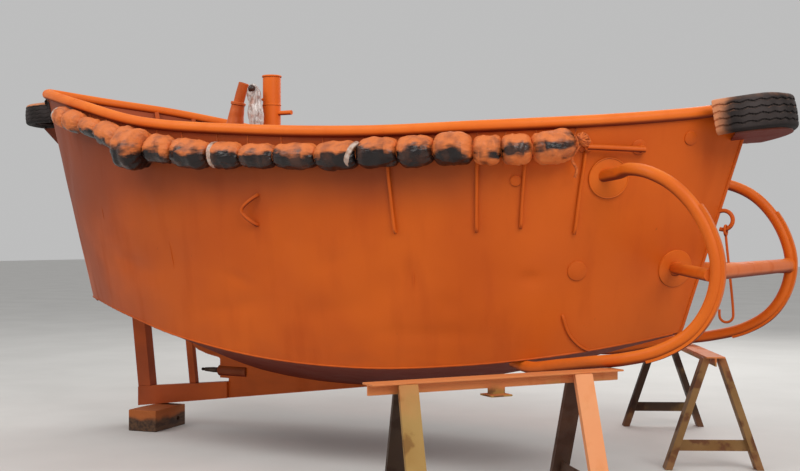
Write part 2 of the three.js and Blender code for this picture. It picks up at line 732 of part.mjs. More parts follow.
// A stretch of tyre with its open side turned to the boat, swept round its own axis
function tyrePiece(tyre) {
  const rim = tyre.radius - tyre.halfWidth * 0.95;
  const outside = [
    [rim, -tyre.halfWidth * 0.78],
    [tyre.radius - 45, -tyre.halfWidth],
    [tyre.radius - 8, -tyre.halfWidth * 0.86],
    [tyre.radius, 0],
    [tyre.radius - 8, tyre.halfWidth * 0.86],
    [tyre.radius - 45, tyre.halfWidth],
    [rim, tyre.halfWidth * 0.78],
  ];
  const narrowing = 1 - tyre.wall / 110;
  const inside = outside.map(([radius, z]) => [radius === rim ? rim : radius - tyre.wall, z * narrowing]);
  const profile = [...outside, ...inside.reverse()];
  const rings = [];
  for (let step = 0; step <= 26; step += 1) {
    const angle = THREE.MathUtils.degToRad(tyre.from + ((tyre.to - tyre.from) * step) / 26);
    rings.push(profile.map(([radius, z]) => new THREE.Vector3(
      tyre.x + Math.cos(angle) * radius, Math.sin(angle) * radius, tyre.z + z)));
  }
  return leaned(skin(rings), tyre).subtract(clearOfHull).subtract(railClearance);
}

// The wrapped rolls from the stern to the bow: station, drop below the rail, radius and half length
const rolls = [
  { at: -0.60, drop: 112, radius: 72, half: 88 },
  { at: -0.54, drop: 114, radius: 78, half: 104 },
  { at: -0.47, drop: 120, radius: 66, half: 96 },
  { at: -0.39, drop: 126, radius: 84, half: 112 },
  { at: -0.295, drop: 185, radius: 138, half: 118 },
  { at: -0.22, drop: 158, radius: 94, half: 106 },
  { at: -0.13, drop: 174, radius: 98, half: 140 },
  { at: -0.037, drop: 170, radius: 84, half: 122 },
  { at: 0.047, drop: 166, radius: 78, half: 126 },
  { at: 0.145, drop: 156, radius: 80, half: 144 },
  { at: 0.248, drop: 152, radius: 90, half: 142 },
  { at: 0.335, drop: 134, radius: 91, half: 138 },
  { at: 0.415, drop: 136, radius: 92, half: 118 },
  { at: 0.487, drop: 128, radius: 98, half: 128 },
  { at: 0.552, drop: 146, radius: 88, half: 100 },
  { at: 0.6, drop: 148, radius: 90, half: 106 },
  { at: 0.665, drop: 148, radius: 99, half: 134 },
  { at: 0.718, drop: 112, radius: 38, half: 56 },
];
const rollRope = 26;

// A roll's centre, its own radius out from the plating
function rollCentre(roll, side) {
  const rail = railPoint(roll.at, side);
  const spot = railToChine(roll.at, roll.drop / 1500, side);
  const reach = roll.radius * 0.9;
  const y = spot.point.y + spot.normal.y * reach;
  return new THREE.Vector3(rail.x + spot.normal.x * reach, y, rail.z - roll.drop);
}

// Wrapped rolls strung on one rope under the rail, pressed against the side
function fenderRow(side) {
  const centres = rolls.map((roll) => rollCentre(roll, side));
  const rope = new THREE.CatmullRomCurve3(centres, false, 'centripetal');
  const pieces = [barAlong(rope, rollRope, 24, 5)];
  rolls.forEach((roll, index) => {
    const before = centres[Math.max(index - 1, 0)];
    const after = centres[Math.min(index + 1, rolls.length - 1)];
    const along = new THREE.Vector3().subVectors(after, before).normalize();
    const profile = [[0, -1], [0.58, -0.94], [0.92, -0.62], [1, 0], [0.92, 0.62], [0.58, 0.94], [0, 1]]
      .map(([wide, high]) => [wide * roll.radius, high * roll.half]);
    const body = turned(profile, 8);
    body.applyQuaternion(new THREE.Quaternion().setFromUnitVectors(new THREE.Vector3(0, 1, 0), along));
    pieces.push(toSolid(body.translate(centres[index].x, centres[index].y, centres[index].z)));
  });
  return unite(pieces).subtract(clearOfHull).subtract(railClearance).subtract(swollen(bowGrabBar(side)));
}

// Brackets that carry the tyres, and the short grab bar on each bow

function bowBracket() {
  const plate = {
    radius: 356, sweep: 1.3, root: 60, rootHalf: 120, thickness: 10, top: bowTyre.z - bowTyre.halfWidth - GAP,
  };
  const shape = new THREE.Shape();
  shape.moveTo(bowTyre.x - plate.root, -plate.rootHalf);
  shape.absarc(bowTyre.x, 0, plate.radius, -plate.sweep, plate.sweep, false);
  shape.lineTo(bowTyre.x - plate.root, plate.rootHalf);
  shape.closePath();
  const options = { depth: plate.thickness, bevelEnabled: false, curveSegments: 20 };
  const geometry = new THREE.ExtrudeGeometry(shape, options);
  const flat = toSolid(geometry.translate(0, 0, plate.top - plate.thickness));
  return leaned(flat, bowTyre).subtract(clearOfHull);
}

function sternBracket() {
  const top = sternTyre.z - sternTyre.halfWidth - GAP;
  const outline = [[-3048, top], [-2760, top], [-2790, 2170]];
  return uprightPlate(outline, 8).subtract(clearOfHull);
}

function bowGrabBar(side) {
  const aft = railToChine(0.736, 0.103, side);
  const fore = railToChine(0.83, 0.13, side);
  const standOff = 52;
  const overhang = 8;
  const ends = [aft, fore].map((spot) => spot.point.clone().addScaledVector(spot.normal, standOff));
  const reach = new THREE.Vector3().subVectors(ends[1], ends[0]).normalize().multiplyScalar(overhang);
  const bar = rodBetween(ends[0].clone().sub(reach), ends[1].clone().add(reach), 16.5, 10);
  const posts = [aft, fore].map((spot, index) => rodBetween(
    spot.point.clone().addScaledVector(spot.normal, -40), ends[index], 24, 12));
  return unite([bar, ...posts]).subtract(clearOfHull);
}

// Cradle: a trestle under each hoop's lower run and a timber block under the heel

const trestle = {
  beamWidth: 118, web: 9, flange: 10, depth: 62, fullDepth: 100, stumpLength: 103, lipLength: 130,
  legWidth: 100, legThickness: 46, headOffset: 46, braceZ: 150, braceDepth: 70,
};
const nearTrestle = {
  from: new THREE.Vector2(1429, -2238), to: new THREE.Vector2(2291, -959), inset: [217, 256],
  splay: 0.5, turn: -16, leftover: -18,
};
const farTrestle = {
  from: new THREE.Vector2(2560, 140), to: new THREE.Vector2(1680, 1884.64), inset: [90, 90],
  splay: 0.34, turn: 0,
};

function hoopBars() {
  const starboard = barAlong(hoopCurve(-1), pipe.hoop, 44);
  return starboard.add(mirrored(starboard));
}

// A steel trestle under its hoop, between two beam ends on the plan, with a splayed frame set in from each end
function trestleParts(name, { from, to, inset, splay, turn, leftover = 0 }) {
  const axis = new THREE.Vector2().subVectors(to, from);
  const length = axis.length();
  const middle = new THREE.Vector2().addVectors(from, to).multiplyScalar(0.5);
  const heading = Math.atan2(axis.y, axis.x);
  const place = (solid) => solid
    .rotate([0, 0, THREE.MathUtils.radToDeg(heading)])
    .translate([middle.x, middle.y, 0]);
  const column = place(boxAt(length, trestle.beamWidth, 900, 0, 0, 600));
  const topZ = hoopBars().intersect(column).boundingBox().min[2] - GAP;
  const beam = teeBeam(length, topZ);
  const whole = leftover === 0 ? beam : beam.add(cutFlange(leftover, topZ));
  const parts = [named(`${name}_beam`, place(whole), paint.ochre)];
  [-1, 1].forEach((end, index) => {
    const x = end * (length / 2 - inset[index]);
    const upright = splayedFrame(topZ - trestle.flange - GAP, splay);
    const letter = index === 0 ? 'a' : 'b';
    const standing = place(upright.rotate([0, 0, turn]).translate([x, 0, 0]));
    parts.push(named(`${name}_frame_${letter}`, standing, paint.ochre));
  });
  return parts;
}

function teeBeam(length, topZ) {
  return boxAt(length, trestle.beamWidth, trestle.flange, 0, 0, topZ - trestle.flange / 2)
    .add(boxAt(length, trestle.web, trestle.depth, 0, 0, topZ - trestle.depth / 2));
}

// The one stretch where the beam keeps its full web and lower flange
function cutFlange(x, topZ) {
  return boxAt(trestle.stumpLength, trestle.web, trestle.fullDepth, x, 0, topZ - trestle.fullDepth / 2)
    .add(boxAt(trestle.lipLength, trestle.beamWidth, trestle.flange, x, 0, topZ - trestle.fullDepth));
}

// Two legs that stand up to the flange on each side of the web, with a brace between them
function splayedFrame(head, splay) {
  const legs = [-1, 1].map((side) => slopedLeg(side, head, splay));
  const { braceZ, braceDepth } = trestle;
  const braceHalf = trestle.headOffset + splay * (head - braceZ);
  return unite([...legs, boxAt(12, braceHalf * 2, braceDepth, 0, 0, braceZ)]);
}

function slopedLeg(side, head, splay) {
  const half = trestle.legThickness / 2;
  const top = side * trestle.headOffset;
  const foot = side * (trestle.headOffset + splay * head);
  const outline = [[top - half, head], [top + half, head], [foot + half, 0], [foot - half, 0]];
  const shape = new THREE.Shape(outline.map(([y, z]) => new THREE.Vector2(y, z)));
  const geometry = new THREE.ExtrudeGeometry(shape, { depth: trestle.legWidth, bevelEnabled: false });
  return toSolid(geometry.rotateX(Math.PI / 2).rotateZ(Math.PI / 2).translate(-trestle.legWidth / 2, 0, 0));
}

const block = { length: 240, width: 436, x: -1678, y: -170, turn: 9, hole: 17 };

function heelBlock() {
  const height = keelLine(block.x - block.length * 0.45);
  const timber = boxAt(block.length, block.width, height, 0, 0, height / 2);
  const hole = rodBetween(new THREE.Vector3(-200, 110, 62), new THREE.Vector3(200, 110, 62), block.hole, 12);
  const placed = timber.subtract(hole).rotate([0, 0, block.turn]).translate([block.x, block.y, 0]);
  const heelSpace = uprightPlate([
    [-3000, keelLine(-3000) - GAP], [0, keelLine(0) - GAP], [0, 900], [-3000, 900],
  ], 900);
  return placed.subtract(heelSpace);
}

// Assembly

const soleFrom = decks.aft.to + decks.thickness + GAP;
const soleTo = decks.fore.from - decks.thickness - GAP;
const sole = deckPlate(soleFrom, soleTo, decks.sole.height);

const boat = new THREE.Group();
boat.add(
  named('hull_stern', hullLength(seam.stern, seam.aft), paint.orange),
  named('hull_waist', hullLength(seam.aft, seam.fore), paint.orange),
  named('hull_bow', hullLength(seam.fore, seam.stem), paint.orange),
  named('rail_pipe_starboard', railPipe(), paint.orange),
  named('rail_pipe_port', mirrored(railPipe()), paint.orange),
  named('foredeck', deckPlate(decks.fore.from, decks.fore.to, decks.fore.height), paint.orange),
  named('aft_deck', deckPlate(decks.aft.from, decks.aft.to, decks.aft.height), paint.orange),
  named('fore_bulkhead', bulkhead(decks.fore.from + decks.thickness, decks.fore.height), paint.orange),
  named('aft_bulkhead', bulkhead(decks.aft.to - decks.thickness, decks.aft.height), paint.orange),
  named('cockpit_sole', sole, paint.orange),
  named('engine_casing', engineCasing(), paint.orange),
  named('casing_lid', casingLid(), paint.orange),
  named('lid_hinge_ears', lidEars(), paint.orange),
  named('engine_block', engineBlock(), paint.iron),
  named('exhaust_stack', exhaustStack(), paint.orange),
  named('vent_pipe', ventPipe(), paint.orange),
  named('wrapped_control_stand', controlStand(), paint.film),
  named('deadwood', deadwood(), paint.orange),
  named('sole_piece', solePiece(), paint.orange),
  named('aft_post', sternPost(frame.heelX, frame.aftPostWidth, 0.12, 40), paint.orange),
  named('middle_post', sternPost(frame.middlePostX, frame.middlePostWidth, 0.12, 20), paint.orange),
  named('stern_tube', sternTube(), paint.orange),
  named('propeller_shaft', propellerShaft(), paint.iron),
  named('push_hoop_starboard', pushHoop(-1), paint.orange),
  named('push_hoop_port', mirrored(pushHoop(-1)), paint.orange),
  named('hoop_strut_starboard', hoopStrut(-1), paint.orange),
  named('hoop_strut_port', mirrored(hoopStrut(-1)), paint.orange),
  named('hoop_cross_tube', crossTube(), paint.orange),
  named('stem_eye', stemEye(), paint.orange),
  named('hook_rod', hookRod(), paint.orange),
  named('bow_bracket', bowBracket(), paint.orange),
  named('bow_tyre', tyrePiece(bowTyre), paint.rubber),
  named('stern_bracket', sternBracket(), paint.orange),
  named('stern_tyre', tyrePiece(sternTyre), paint.rubber),
  named('fender_row_starboard', fenderRow(-1), paint.wrap),
  named('fender_row_port', mirrored(fenderRow(-1)), paint.wrap),
  named('bow_bar_starboard', bowGrabBar(-1), paint.orange),
  named('bow_bar_port', mirrored(bowGrabBar(-1)), paint.orange),
  ...trestleParts('near_trestle', nearTrestle),
  ...trestleParts('far_trestle', farTrestle),
  named('heel_block', heelBlock(), paint.timber),
);

// The floor plan's middle is the origin
const plan = new THREE.Box3().setFromObject(boat);
const middle = plan.getCenter(new THREE.Vector3());
boat.position.set(-middle.x, -middle.y, -plan.min.z);

const object = new THREE.Group();
object.add(boat);

export default object;
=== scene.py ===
"""A small double-ended steel push boat on two trestles and a timber block, dressed for its picture.

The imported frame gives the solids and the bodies. This file adds the shapes and finishes that show: dented
plating, round pipework, moulded tyres, wrapped fender rolls and worn paint. Everything is in metres, with the
bow to +X and +Z up.
"""

from __future__ import annotations

import json
import logging
import math
from collections.abc import Sequence
from dataclasses import dataclass, field
from enum import Enum

import bmesh
import bpy
from mathutils import Matrix, Vector, noise

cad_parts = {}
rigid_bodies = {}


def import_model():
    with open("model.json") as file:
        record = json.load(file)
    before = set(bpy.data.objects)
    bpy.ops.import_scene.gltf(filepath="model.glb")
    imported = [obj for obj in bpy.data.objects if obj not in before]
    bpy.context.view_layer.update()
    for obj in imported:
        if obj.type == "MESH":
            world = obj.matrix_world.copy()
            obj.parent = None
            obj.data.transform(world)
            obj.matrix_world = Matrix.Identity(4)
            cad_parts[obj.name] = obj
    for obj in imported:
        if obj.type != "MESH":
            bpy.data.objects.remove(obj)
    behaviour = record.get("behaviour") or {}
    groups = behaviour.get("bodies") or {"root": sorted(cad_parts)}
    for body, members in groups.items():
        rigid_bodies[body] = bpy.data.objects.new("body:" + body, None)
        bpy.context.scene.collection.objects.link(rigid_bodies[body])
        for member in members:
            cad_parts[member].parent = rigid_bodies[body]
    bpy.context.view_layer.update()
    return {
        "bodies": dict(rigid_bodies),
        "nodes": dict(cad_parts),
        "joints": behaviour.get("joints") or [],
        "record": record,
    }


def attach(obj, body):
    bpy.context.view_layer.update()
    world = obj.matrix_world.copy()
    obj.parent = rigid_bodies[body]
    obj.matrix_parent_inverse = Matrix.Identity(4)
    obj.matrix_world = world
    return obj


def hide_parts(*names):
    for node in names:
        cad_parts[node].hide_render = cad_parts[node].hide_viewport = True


log = logging.getLogger("push_boat")

# The boat's centreline, since the frame's origin is under the middle of the boat and its trestles together
CENTRE_Y = 0.216066
BOAT = "boat_on_trestles"

UP = Vector((0.0, 0.0, 1.0))
ACROSS = Vector((0.0, 1.0, 0.0))
# The way that a swept section's second axis starts out where no other way is named
SLANT = Vector((0.11, 0.17, 1.0))
# Corners nearer than this are one corner
MERGE_GAP = 1e-5
# How many short steps a curve takes between two of its control points
CURVE_STEPS = 24
# The pairs of knots that each blend of a curve's points runs between, in its three rounds
KNOT_SPANS = (((0, 1), (1, 2), (2, 3)), ((0, 2), (1, 3)), ((1, 2),))

Ring = list[tuple[float, float]]
Colour = tuple[float, float, float]


class Side(Enum):
    """The two sides of the boat, as the sign of their breadth."""

    STARBOARD = -1
    PORT = 1


class Slot(Enum):
    """The record's material slots that the new pieces take their finish from."""

    HULL = "hull_paint"
    TRESTLE = "trestle_paint"
    TYRE = "tyre_rubber"
    WRAP = "fender_wrap"
    FILM = "clear_film"
    STEEL = "shaft_steel"


class Value:
    """A shader socket that can be used in a Python expression."""

    def __init__(self, recipe: Recipe, socket: bpy.types.NodeSocket) -> None:
        """Keeps the socket and the recipe that its nodes are added to."""
        self.recipe = recipe
        self.socket = socket

    def _maths(self, operation: str, first: Value | float, second: Value | float) -> Value:
        """Adds one Math node for an operation on two values."""
        return self.recipe.node("ShaderNodeMath", {"operation": operation}, {0: first, 1: second})

    def __add__(self, other: Value | float) -> Value:
        """This value plus another."""
        return self._maths("ADD", self, other)

    def __radd__(self, other: float) -> Value:
        """A number plus this value."""
        return self._maths("ADD", other, self)

    def __sub__(self, other: Value | float) -> Value:
        """This value less another."""
        return self._maths("SUBTRACT", self, other)

    def __rsub__(self, other: float) -> Value:
        """A number less this value."""
        return self._maths("SUBTRACT", other, self)

    def __mul__(self, other: Value | float) -> Value:
        """This value times another."""
        return self._maths("MULTIPLY", self, other)

    def __rmul__(self, other: float) -> Value:
        """A number times this value."""
        return self._maths("MULTIPLY", other, self)

    def ramp(self, low: float, high: float) -> Value:
        """Runs smoothly from 0 at low to 1 at high.

        Args:
            low: The value that gives 0.
            high: The value that gives 1, which may lie under low.

        Returns:
            A value from 0 to 1.
        """
        inputs = {"Value": self, "From Min": low, "From Max": high}
        return self.recipe.node("ShaderNodeMapRange", {"interpolation_type": "SMOOTHSTEP"}, inputs)


class Recipe:
    """The node tree of one finish."""

    def __init__(self, name: str) -> None:
        """Makes an empty material with one principled shader."""
        self.material = bpy.data.materials.new(name)
        self.material.use_nodes = True
        self.tree = self.material.node_tree
        self.shader = self.tree.nodes["Principled BSDF"]
        self.place = self.node("ShaderNodeTexCoord", {}, {}, "Object")

    def node(self, kind: str, settings: dict, inputs: dict, output: int | str = 0) -> Value:
        """Adds one node.

        Args:
            kind: The node's type.
            settings: Properties that are set before its sockets.
            inputs: Socket names or numbers, with the values or links that they get.
            output: The socket that is returned.

        Returns:
            The chosen output as a value.
        """
        made = self.tree.nodes.new(kind)
        for key, setting in settings.items():
            setattr(made, key, setting)
        for key, given in inputs.items():
            self.feed(made.inputs[key], given)
        return Value(self, made.outputs[output])

    def feed(self, socket: bpy.types.NodeSocket, given: Value | float | Sequence[float]) -> None:
        """Links a value to a socket, or sets the socket's own number or colour.

        Args:
            socket: The socket.
            given: What it gets.
        """
        if isinstance(given, Value):
            self.tree.links.new(given.socket, socket)
        elif isinstance(given, (int, float)):
            socket.default_value = given
        else:
            padded = list(given) + [1.0]
            socket.default_value = padded[: len(socket.default_value)]

    def axis(self, letter: str) -> Value:
        """One coordinate of the surface point, in metres."""
        return self.node("ShaderNodeSeparateXYZ", {}, {0: self.place}, letter)

    def speckle(self, scale: float, stretch: Sequence[float] = (1, 1, 1), detail: float = 4.0) -> Value:
        """A cloud pattern from 0 to 1.

        Args:
            scale: How many lumps there are to a metre.
            stretch: The pattern's own scale along each axis.
            detail: How many finer layers it has.

        Returns:
            The pattern's strength.
        """
        placed = self.node("ShaderNodeMapping", {}, {"Vector": self.place, "Scale": stretch})
        return self.node("ShaderNodeTexNoise", {}, {"Vector": placed, "Scale": scale, "Detail": detail})

    def blend(self, share: Value | float, under: Value | Colour, over: Value | Colour) -> Value:
        """Mixes two colours.

        Args:
            share: How much of the second colour shows.
            under: The first colour.
            over: The second colour.

        Returns:
            The mixed colour.
        """
        # Sockets 6 and 7 take the two colours, and output 2 is the mixed one
        return self.node("ShaderNodeMix", {"data_type": "RGBA"}, {"Factor": share, 6: under, 7: over}, 2)

    def upward(self) -> Value:
        """How far the surface faces up, from -1 to 1."""
        normal = self.node("ShaderNodeNewGeometry", {}, {}, "Normal")
        return self.node("ShaderNodeSeparateXYZ", {}, {0: normal}, "Z")

    def along(self, direction: Sequence[float]) -> Value:
        """The surface point's distance along a direction, in metres."""
        inputs = {0: self.place, 1: direction}
        return self.node("ShaderNodeVectorMath", {"operation": "DOT_PRODUCT"}, inputs, "Value")

    def stored(self, name: str) -> Value:
        """A number that the piece's mesh keeps at each of its points."""
        return self.node("ShaderNodeAttribute", {"attribute_name": name}, {}, "Fac")

    def finished(self, sockets: dict, relief: Value, depth: float) -> bpy.types.Material:
        """Feeds the principled shader and hands over the material.

        Args:
            sockets: The shader's sockets by name, with what they get.
            relief: The surface's small relief, from 0 to 1.
            depth: The depth of that relief in metres.

        Returns:
            The finished material.
        """
        bump = {"Height": relief, "Distance": depth, "Strength": 1.0}
        normal = self.node("ShaderNodeBump", {}, bump, "Normal")
        for name, given in {**sockets, "Normal": normal}.items():
            self.feed(self.shader.inputs[name], given)
        return self.material


@dataclass(frozen=True)
class Enamel:
    """Sprayed orange enamel over dented steel: uneven coats, smoke stains aft, chips and painted shade.

    The last four fields say where a mark starts and where it is full, in metres along the boat or up it: the
    smoke stain, the painted shade under the rolls (up the side, then along the boat) and the splash.
    """

    name: str = "orange_enamel"
    bright: Colour = (0.66, 0.118, 0.007)
    deep: Colour = (0.50, 0.074, 0.005)
    dusty: Colour = (0.80, 0.22, 0.035)
    downward_shade: Colour = (0.13, 0.013, 0.005)
    soot_and_shade: Colour = (0.23, 0.048, 0.018)
    rust: Colour = (0.12, 0.030, 0.011)
    wear: float = 0.5
    gloss: float = 0.46
    sooty: float = 0.75
    shaded: float = 0.0
    smoke_aft: tuple[float, float] = (0.2, -2.4)
    shade_up: tuple[float, float] = (1.56, 1.86)
    shade_aft: tuple[float, float] = (1.75, 1.15)
    splash_down: tuple[float, float] = (1.0, 0.4)

    def build(self) -> bpy.types.Material:
        """Makes the material."""
        mix = Recipe(self.name)
        coats = mix.speckle(1.3, detail=3.0).ramp(0.30, 0.72)
        runs = mix.speckle(3.2, (2.2, 2.2, 0.28), 5.0).ramp(0.48, 0.74)
        colour = mix.blend(coats * 0.6 + runs * 0.3, self.bright, self.deep)
        smoke = mix.axis("X").ramp(*self.smoke_aft) * mix.speckle(0.9, (1.0, 1.0, 1.4), 4.0).ramp(0.22, 0.60)
        colour = mix.blend(smoke * self.sooty, colour, self.soot_and_shade)
        # Painted shade under the fender rolls: a mottled dark band above shade_up's heights, full towards the
        # stern
        shade = mix.axis("Z").ramp(*self.shade_up) * mix.axis("X").ramp(*self.shade_aft)
        painted_shade = shade * (0.7 + 0.6 * mix.speckle(2.6))
        colour = mix.blend(painted_shade * self.shaded, colour, self.soot_and_shade)
        dust = mix.upward().ramp(0.35, 0.95) * mix.speckle(5.0).ramp(0.3, 0.7)
        colour = mix.blend(dust * 0.45, colour, self.dusty)
        low = mix.axis("Z").ramp(*self.splash_down) * mix.speckle(2.4, (1, 1, 2.5)).ramp(0.34, 0.66)
        colour = mix.blend(low * 0.3, colour, self.soot_and_shade)
        # Painted shade: faces that look down are darkened to a red-brown, for the light that they miss
        under = mix.upward().ramp(-0.25, -0.85)
        colour = mix.blend(under * 0.93, colour, self.downward_shade)
        chips = mix.speckle(34.0, detail=6.0).ramp(0.70, 0.74) * mix.speckle(2.3).ramp(0.52, 0.68)
        worn = chips * self.wear
        colour = mix.blend(worn, colour, self.rust)
        rough = self.gloss + 0.14 * runs + 0.3 * worn + 0.2 * dust + 0.16 * low + 0.1 * smoke + 0.3 * under
        peel = mix.speckle(240.0, detail=2.0)
        relief = peel * 0.12 + mix.speckle(11.0, detail=3.0) * 0.9 - worn * 0.5
        sheen = {"Specular IOR Level": 0.2, "Coat Weight": 0.04, "Coat Roughness": 0.3}
        return mix.finished({"Base Color": colour, "Roughness": rough, **sheen}, relief, 0.0016)


# The rail's enamel is a brighter copy of the hull's: painted light, for the sky light on the rail's top
LIT_RAIL_COAT = Enamel(
    "lit_rail_enamel", (0.84, 0.185, 0.018), (0.72, 0.125, 0.009), (0.92, 0.27, 0.05), wear=0.6, sooty=0.0
)
STACK_COAT = Enamel("stack_enamel", (0.88, 0.185, 0.018), (0.74, 0.130, 0.010), wear=0.5, sooty=0.0)
VENT_COAT = Enamel("vent_enamel", (0.72, 0.160, 0.035), (0.36, 0.055, 0.012), wear=0.9, gloss=0.3, sooty=0.0)
HOOP_COAT = Enamel(
    "hoop_enamel", (0.74, 0.150, 0.010), (0.60, 0.100, 0.007), (0.84, 0.25, 0.035), wear=0.9, sooty=0.0
)
# The tyre brackets get a near-black copy of the enamel: painted shade, for the shade under the tyres
SHADED_BRACKET_COAT = Enamel(
    "shaded_bracket_enamel", (0.16, 0.025, 0.006), (0.05, 0.012, 0.006), (0.50, 0.13, 0.03), wear=1.0
)


@dataclass(frozen=True)
class TrestlePaint:
    """Old ochre paint on yard steel, rubbed through to rust, with orange mist where the boat was sprayed.

    far_leg picks out a frame's far leg, which stands in shade: the two shares of a level direction across the
    legs, and the distance along it where the far leg starts.
    """

    name: str = "ochre_yard_paint"
    ochre: Colour = (0.30, 0.150, 0.024)
    pale: Colour = (0.38, 0.225, 0.060)
    rust: Colour = (0.13, 0.046, 0.020)
    mist: Colour = (0.72, 0.22, 0.070)
    dark: Colour = (0.028, 0.013, 0.009)
    floor_dust: Colour = (0.30, 0.13, 0.055)
    mist_from: float = 0.46
    mist_to: float = 0.75
    mist_share: float = 0.85
    rubbed_share: float = 0.8
    far_leg: tuple[float, float, float] | None = None
    leg_edge: float = 0.012
    darkened: float = 0.0
    dust_top: float = 0.16

    def build(self) -> bpy.types.Material:
        """Makes the material."""
        mix = Recipe(self.name)
        colour = mix.blend(mix.speckle(3.0).ramp(0.3, 0.7), self.ochre, self.pale)
        rubbed = mix.speckle(7.0, detail=7.0).ramp(0.54, 0.62)
        colour = mix.blend(rubbed * self.rubbed_share, colour, self.rust)
        sprayed = mix.axis("Z").ramp(self.mist_from, self.mist_to) + mix.upward().ramp(0.4, 0.9) * 0.5
        cover = (sprayed + mix.speckle(4.0, detail=6.0) * 1.2 - 0.6).ramp(0.35, 0.95)
        colour = mix.blend(cover * self.mist_share, colour, self.mist)
        if self.far_leg is not None:
            across, over, middle = self.far_leg
            behind = mix.along((across, over, 0.0)).ramp(middle - self.leg_edge, middle + self.leg_edge)
            colour = mix.blend(behind * (0.9 + 0.1 * mix.speckle(6.0)), colour, self.dark)
        colour = mix.blend(self.darkened * mix.speckle(5.0, detail=5.0).ramp(0.2, 0.5), colour, self.dark)
        dust = mix.axis("Z").ramp(self.dust_top, 0.0)
        colour = mix.blend(dust * 0.5, colour, self.floor_dust)
        sockets = {"Base Color": colour, "Roughness": 0.58 + 0.25 * rubbed, "Specular IOR Level": 0.3}
        return mix.finished(sockets, mix.speckle(60.0, detail=5.0) * 0.5 - rubbed * 0.6, 0.0015)


@dataclass(frozen=True)
class TyreRubber:
    """Weathered black rubber, dusty on top, with painted shade underneath and orange mist next to the plating.
    """

    name: str
    mist_from: float
    mist_to: float
    crust: float
    crust_above: float
    mist: Colour = (0.70, 0.27, 0.12)
    black: Colour = (0.016, 0.011, 0.010)
    grey: Colour = (0.052, 0.040, 0.038)
    underside_shade: Colour = (0.008, 0.006, 0.006)
    dusty: Colour = (0.15, 0.10, 0.08)
    crust_edge: float = 0.012

    def build(self) -> bpy.types.Material:
        """Makes the material."""
        mix = Recipe(self.name)
        colour = mix.blend(mix.speckle(6.0, detail=6.0).ramp(0.35, 0.72), self.black, self.grey)
        facing = mix.upward()
        # Painted shade: faces that look down are darkened nearly to black
        colour = mix.blend(facing.ramp(-0.1, -0.7) * 0.8, colour, self.underside_shade)
        dust = facing.ramp(0.1, 0.9) * mix.speckle(9.0).ramp(0.3, 0.65)
        colour = mix.blend(dust * 0.4, colour, self.dusty)
        near = mix.axis("X").ramp(self.mist_from, self.mist_to)
        over = mix.axis("Z").ramp(self.crust_above - self.crust_edge, self.crust_above)
        crusted = facing.ramp(0.0, 0.4) * over * self.crust
        mist = (near + crusted + mix.speckle(18.0, detail=5.0) * 0.5 - 0.3).ramp(0.1, 1.05)
        colour = mix.blend(mist * 0.88, colour, self.mist)
        sockets = {"Base Color": colour, "Roughness": 0.74 - 0.18 * mist, "Specular IOR Level": 0.25}
        return mix.finished(sockets, mix.speckle(85.0, detail=6.0), 0.0012)


@dataclass(frozen=True)
class WrapFilm:
    """Dark stretch film wound round the rolls, sprayed orange as far as each roll's mesh says."""

    name: str = "dark_wrap_film"
    dark: Colour = (0.009, 0.005, 0.005)
    brown: Colour = (0.070, 0.026, 0.015)
    mist: Colour = (0.74, 0.190, 0.040)
    worn_mist: Colour = (0.42, 0.110, 0.034)
    edge: float = 0.13

    def build(self) -> bpy.types.Material:
        """Makes the material."""
        mix = Recipe(self.name)
        colour = mix.blend(mix.speckle(9.0, (1, 1, 0.5), 5.0).ramp(0.46, 0.68), self.dark, self.brown)
        streaks = mix.speckle(34.0, (0.5, 0.5, 1.4), 6.0) - 0.5
        clouds = mix.speckle(9.0, detail=4.0) - 0.5
        sprayed = (mix.stored("spray") + streaks * 0.4 + clouds * 0.5).ramp(-self.edge, self.edge)
        coat = mix.blend(mix.speckle(13.0, detail=5.0).ramp(0.42, 0.75), self.mist, self.worn_mist)
        colour = mix.blend(sprayed * 0.96, colour, coat)
        folds = mix.speckle(30.0, (0.8, 0.8, 2.2), 5.0) * 0.8 + mix.speckle(11.0, detail=4.0)
        sheen = {"Specular IOR Level": 0.4, "Coat Weight": 0.08, "Coat Roughness": 0.2}
        return mix.finished({"Base Color": colour, "Roughness": 0.24 + 0.38 * sprayed, **sheen}, folds, 0.008)


@dataclass(frozen=True)
class ClearFilm:
    """Crumpled clear film over an orange control stand, milky where it folds."""

    name: str = "clear_wrap_film"
    milky: Colour = (0.70, 0.64, 0.60)
    grey: Colour = (0.40, 0.33, 0.30)
    behind: Colour = (0.60, 0.20, 0.08)

    def build(self) -> bpy.types.Material:
        """Makes the material."""
        mix = Recipe(self.name)
        folds = mix.speckle(22.0, (1.8, 1.8, 0.45), 7.0)
        colour = mix.blend(mix.speckle(30.0, (1.5, 1.5, 0.5), 6.0).ramp(0.45, 0.62), self.milky, self.grey)
        through = mix.speckle(14.0, (1.0, 1.0, 0.5), 5.0).ramp(0.56, 0.70)
        colour = mix.blend(through * 0.5, colour, self.behind)
        sheen = {"Roughness": 0.14, "Coat Weight": 0.6, "Coat Roughness": 0.08}
        return mix.finished({"Base Color": colour, **sheen}, folds, 0.016)


@dataclass(frozen=True)
class OldTimber:
    """A sawn block of old hardwood with orange mist on its upper side."""

    name: str = "old_timber_block"
    light: Colour = (0.115, 0.055, 0.026)
    dark: Colour = (0.045, 0.022, 0.013)
    mist: Colour = (0.56, 0.14, 0.022)

    def build(self) -> bpy.types.Material:
        """Makes the material."""
        mix = Recipe(self.name)
        grain = mix.speckle(9.0, (5.0, 0.5, 5.0), 8.0)
        colour = mix.blend(grain.ramp(0.35, 0.65), self.light, self.dark)
        sprayed = (mix.axis("Z").ramp(0.03, 0.15) + mix.speckle(7.0, detail=5.0) - 0.5).ramp(0.35, 0.85)
        colour = mix.blend(sprayed * 0.7, colour, self.mist)
        return mix.finished({"Base Color": colour, "Roughness": 0.86}, grain + mix.speckle(60.0) * 0.3, 0.003)


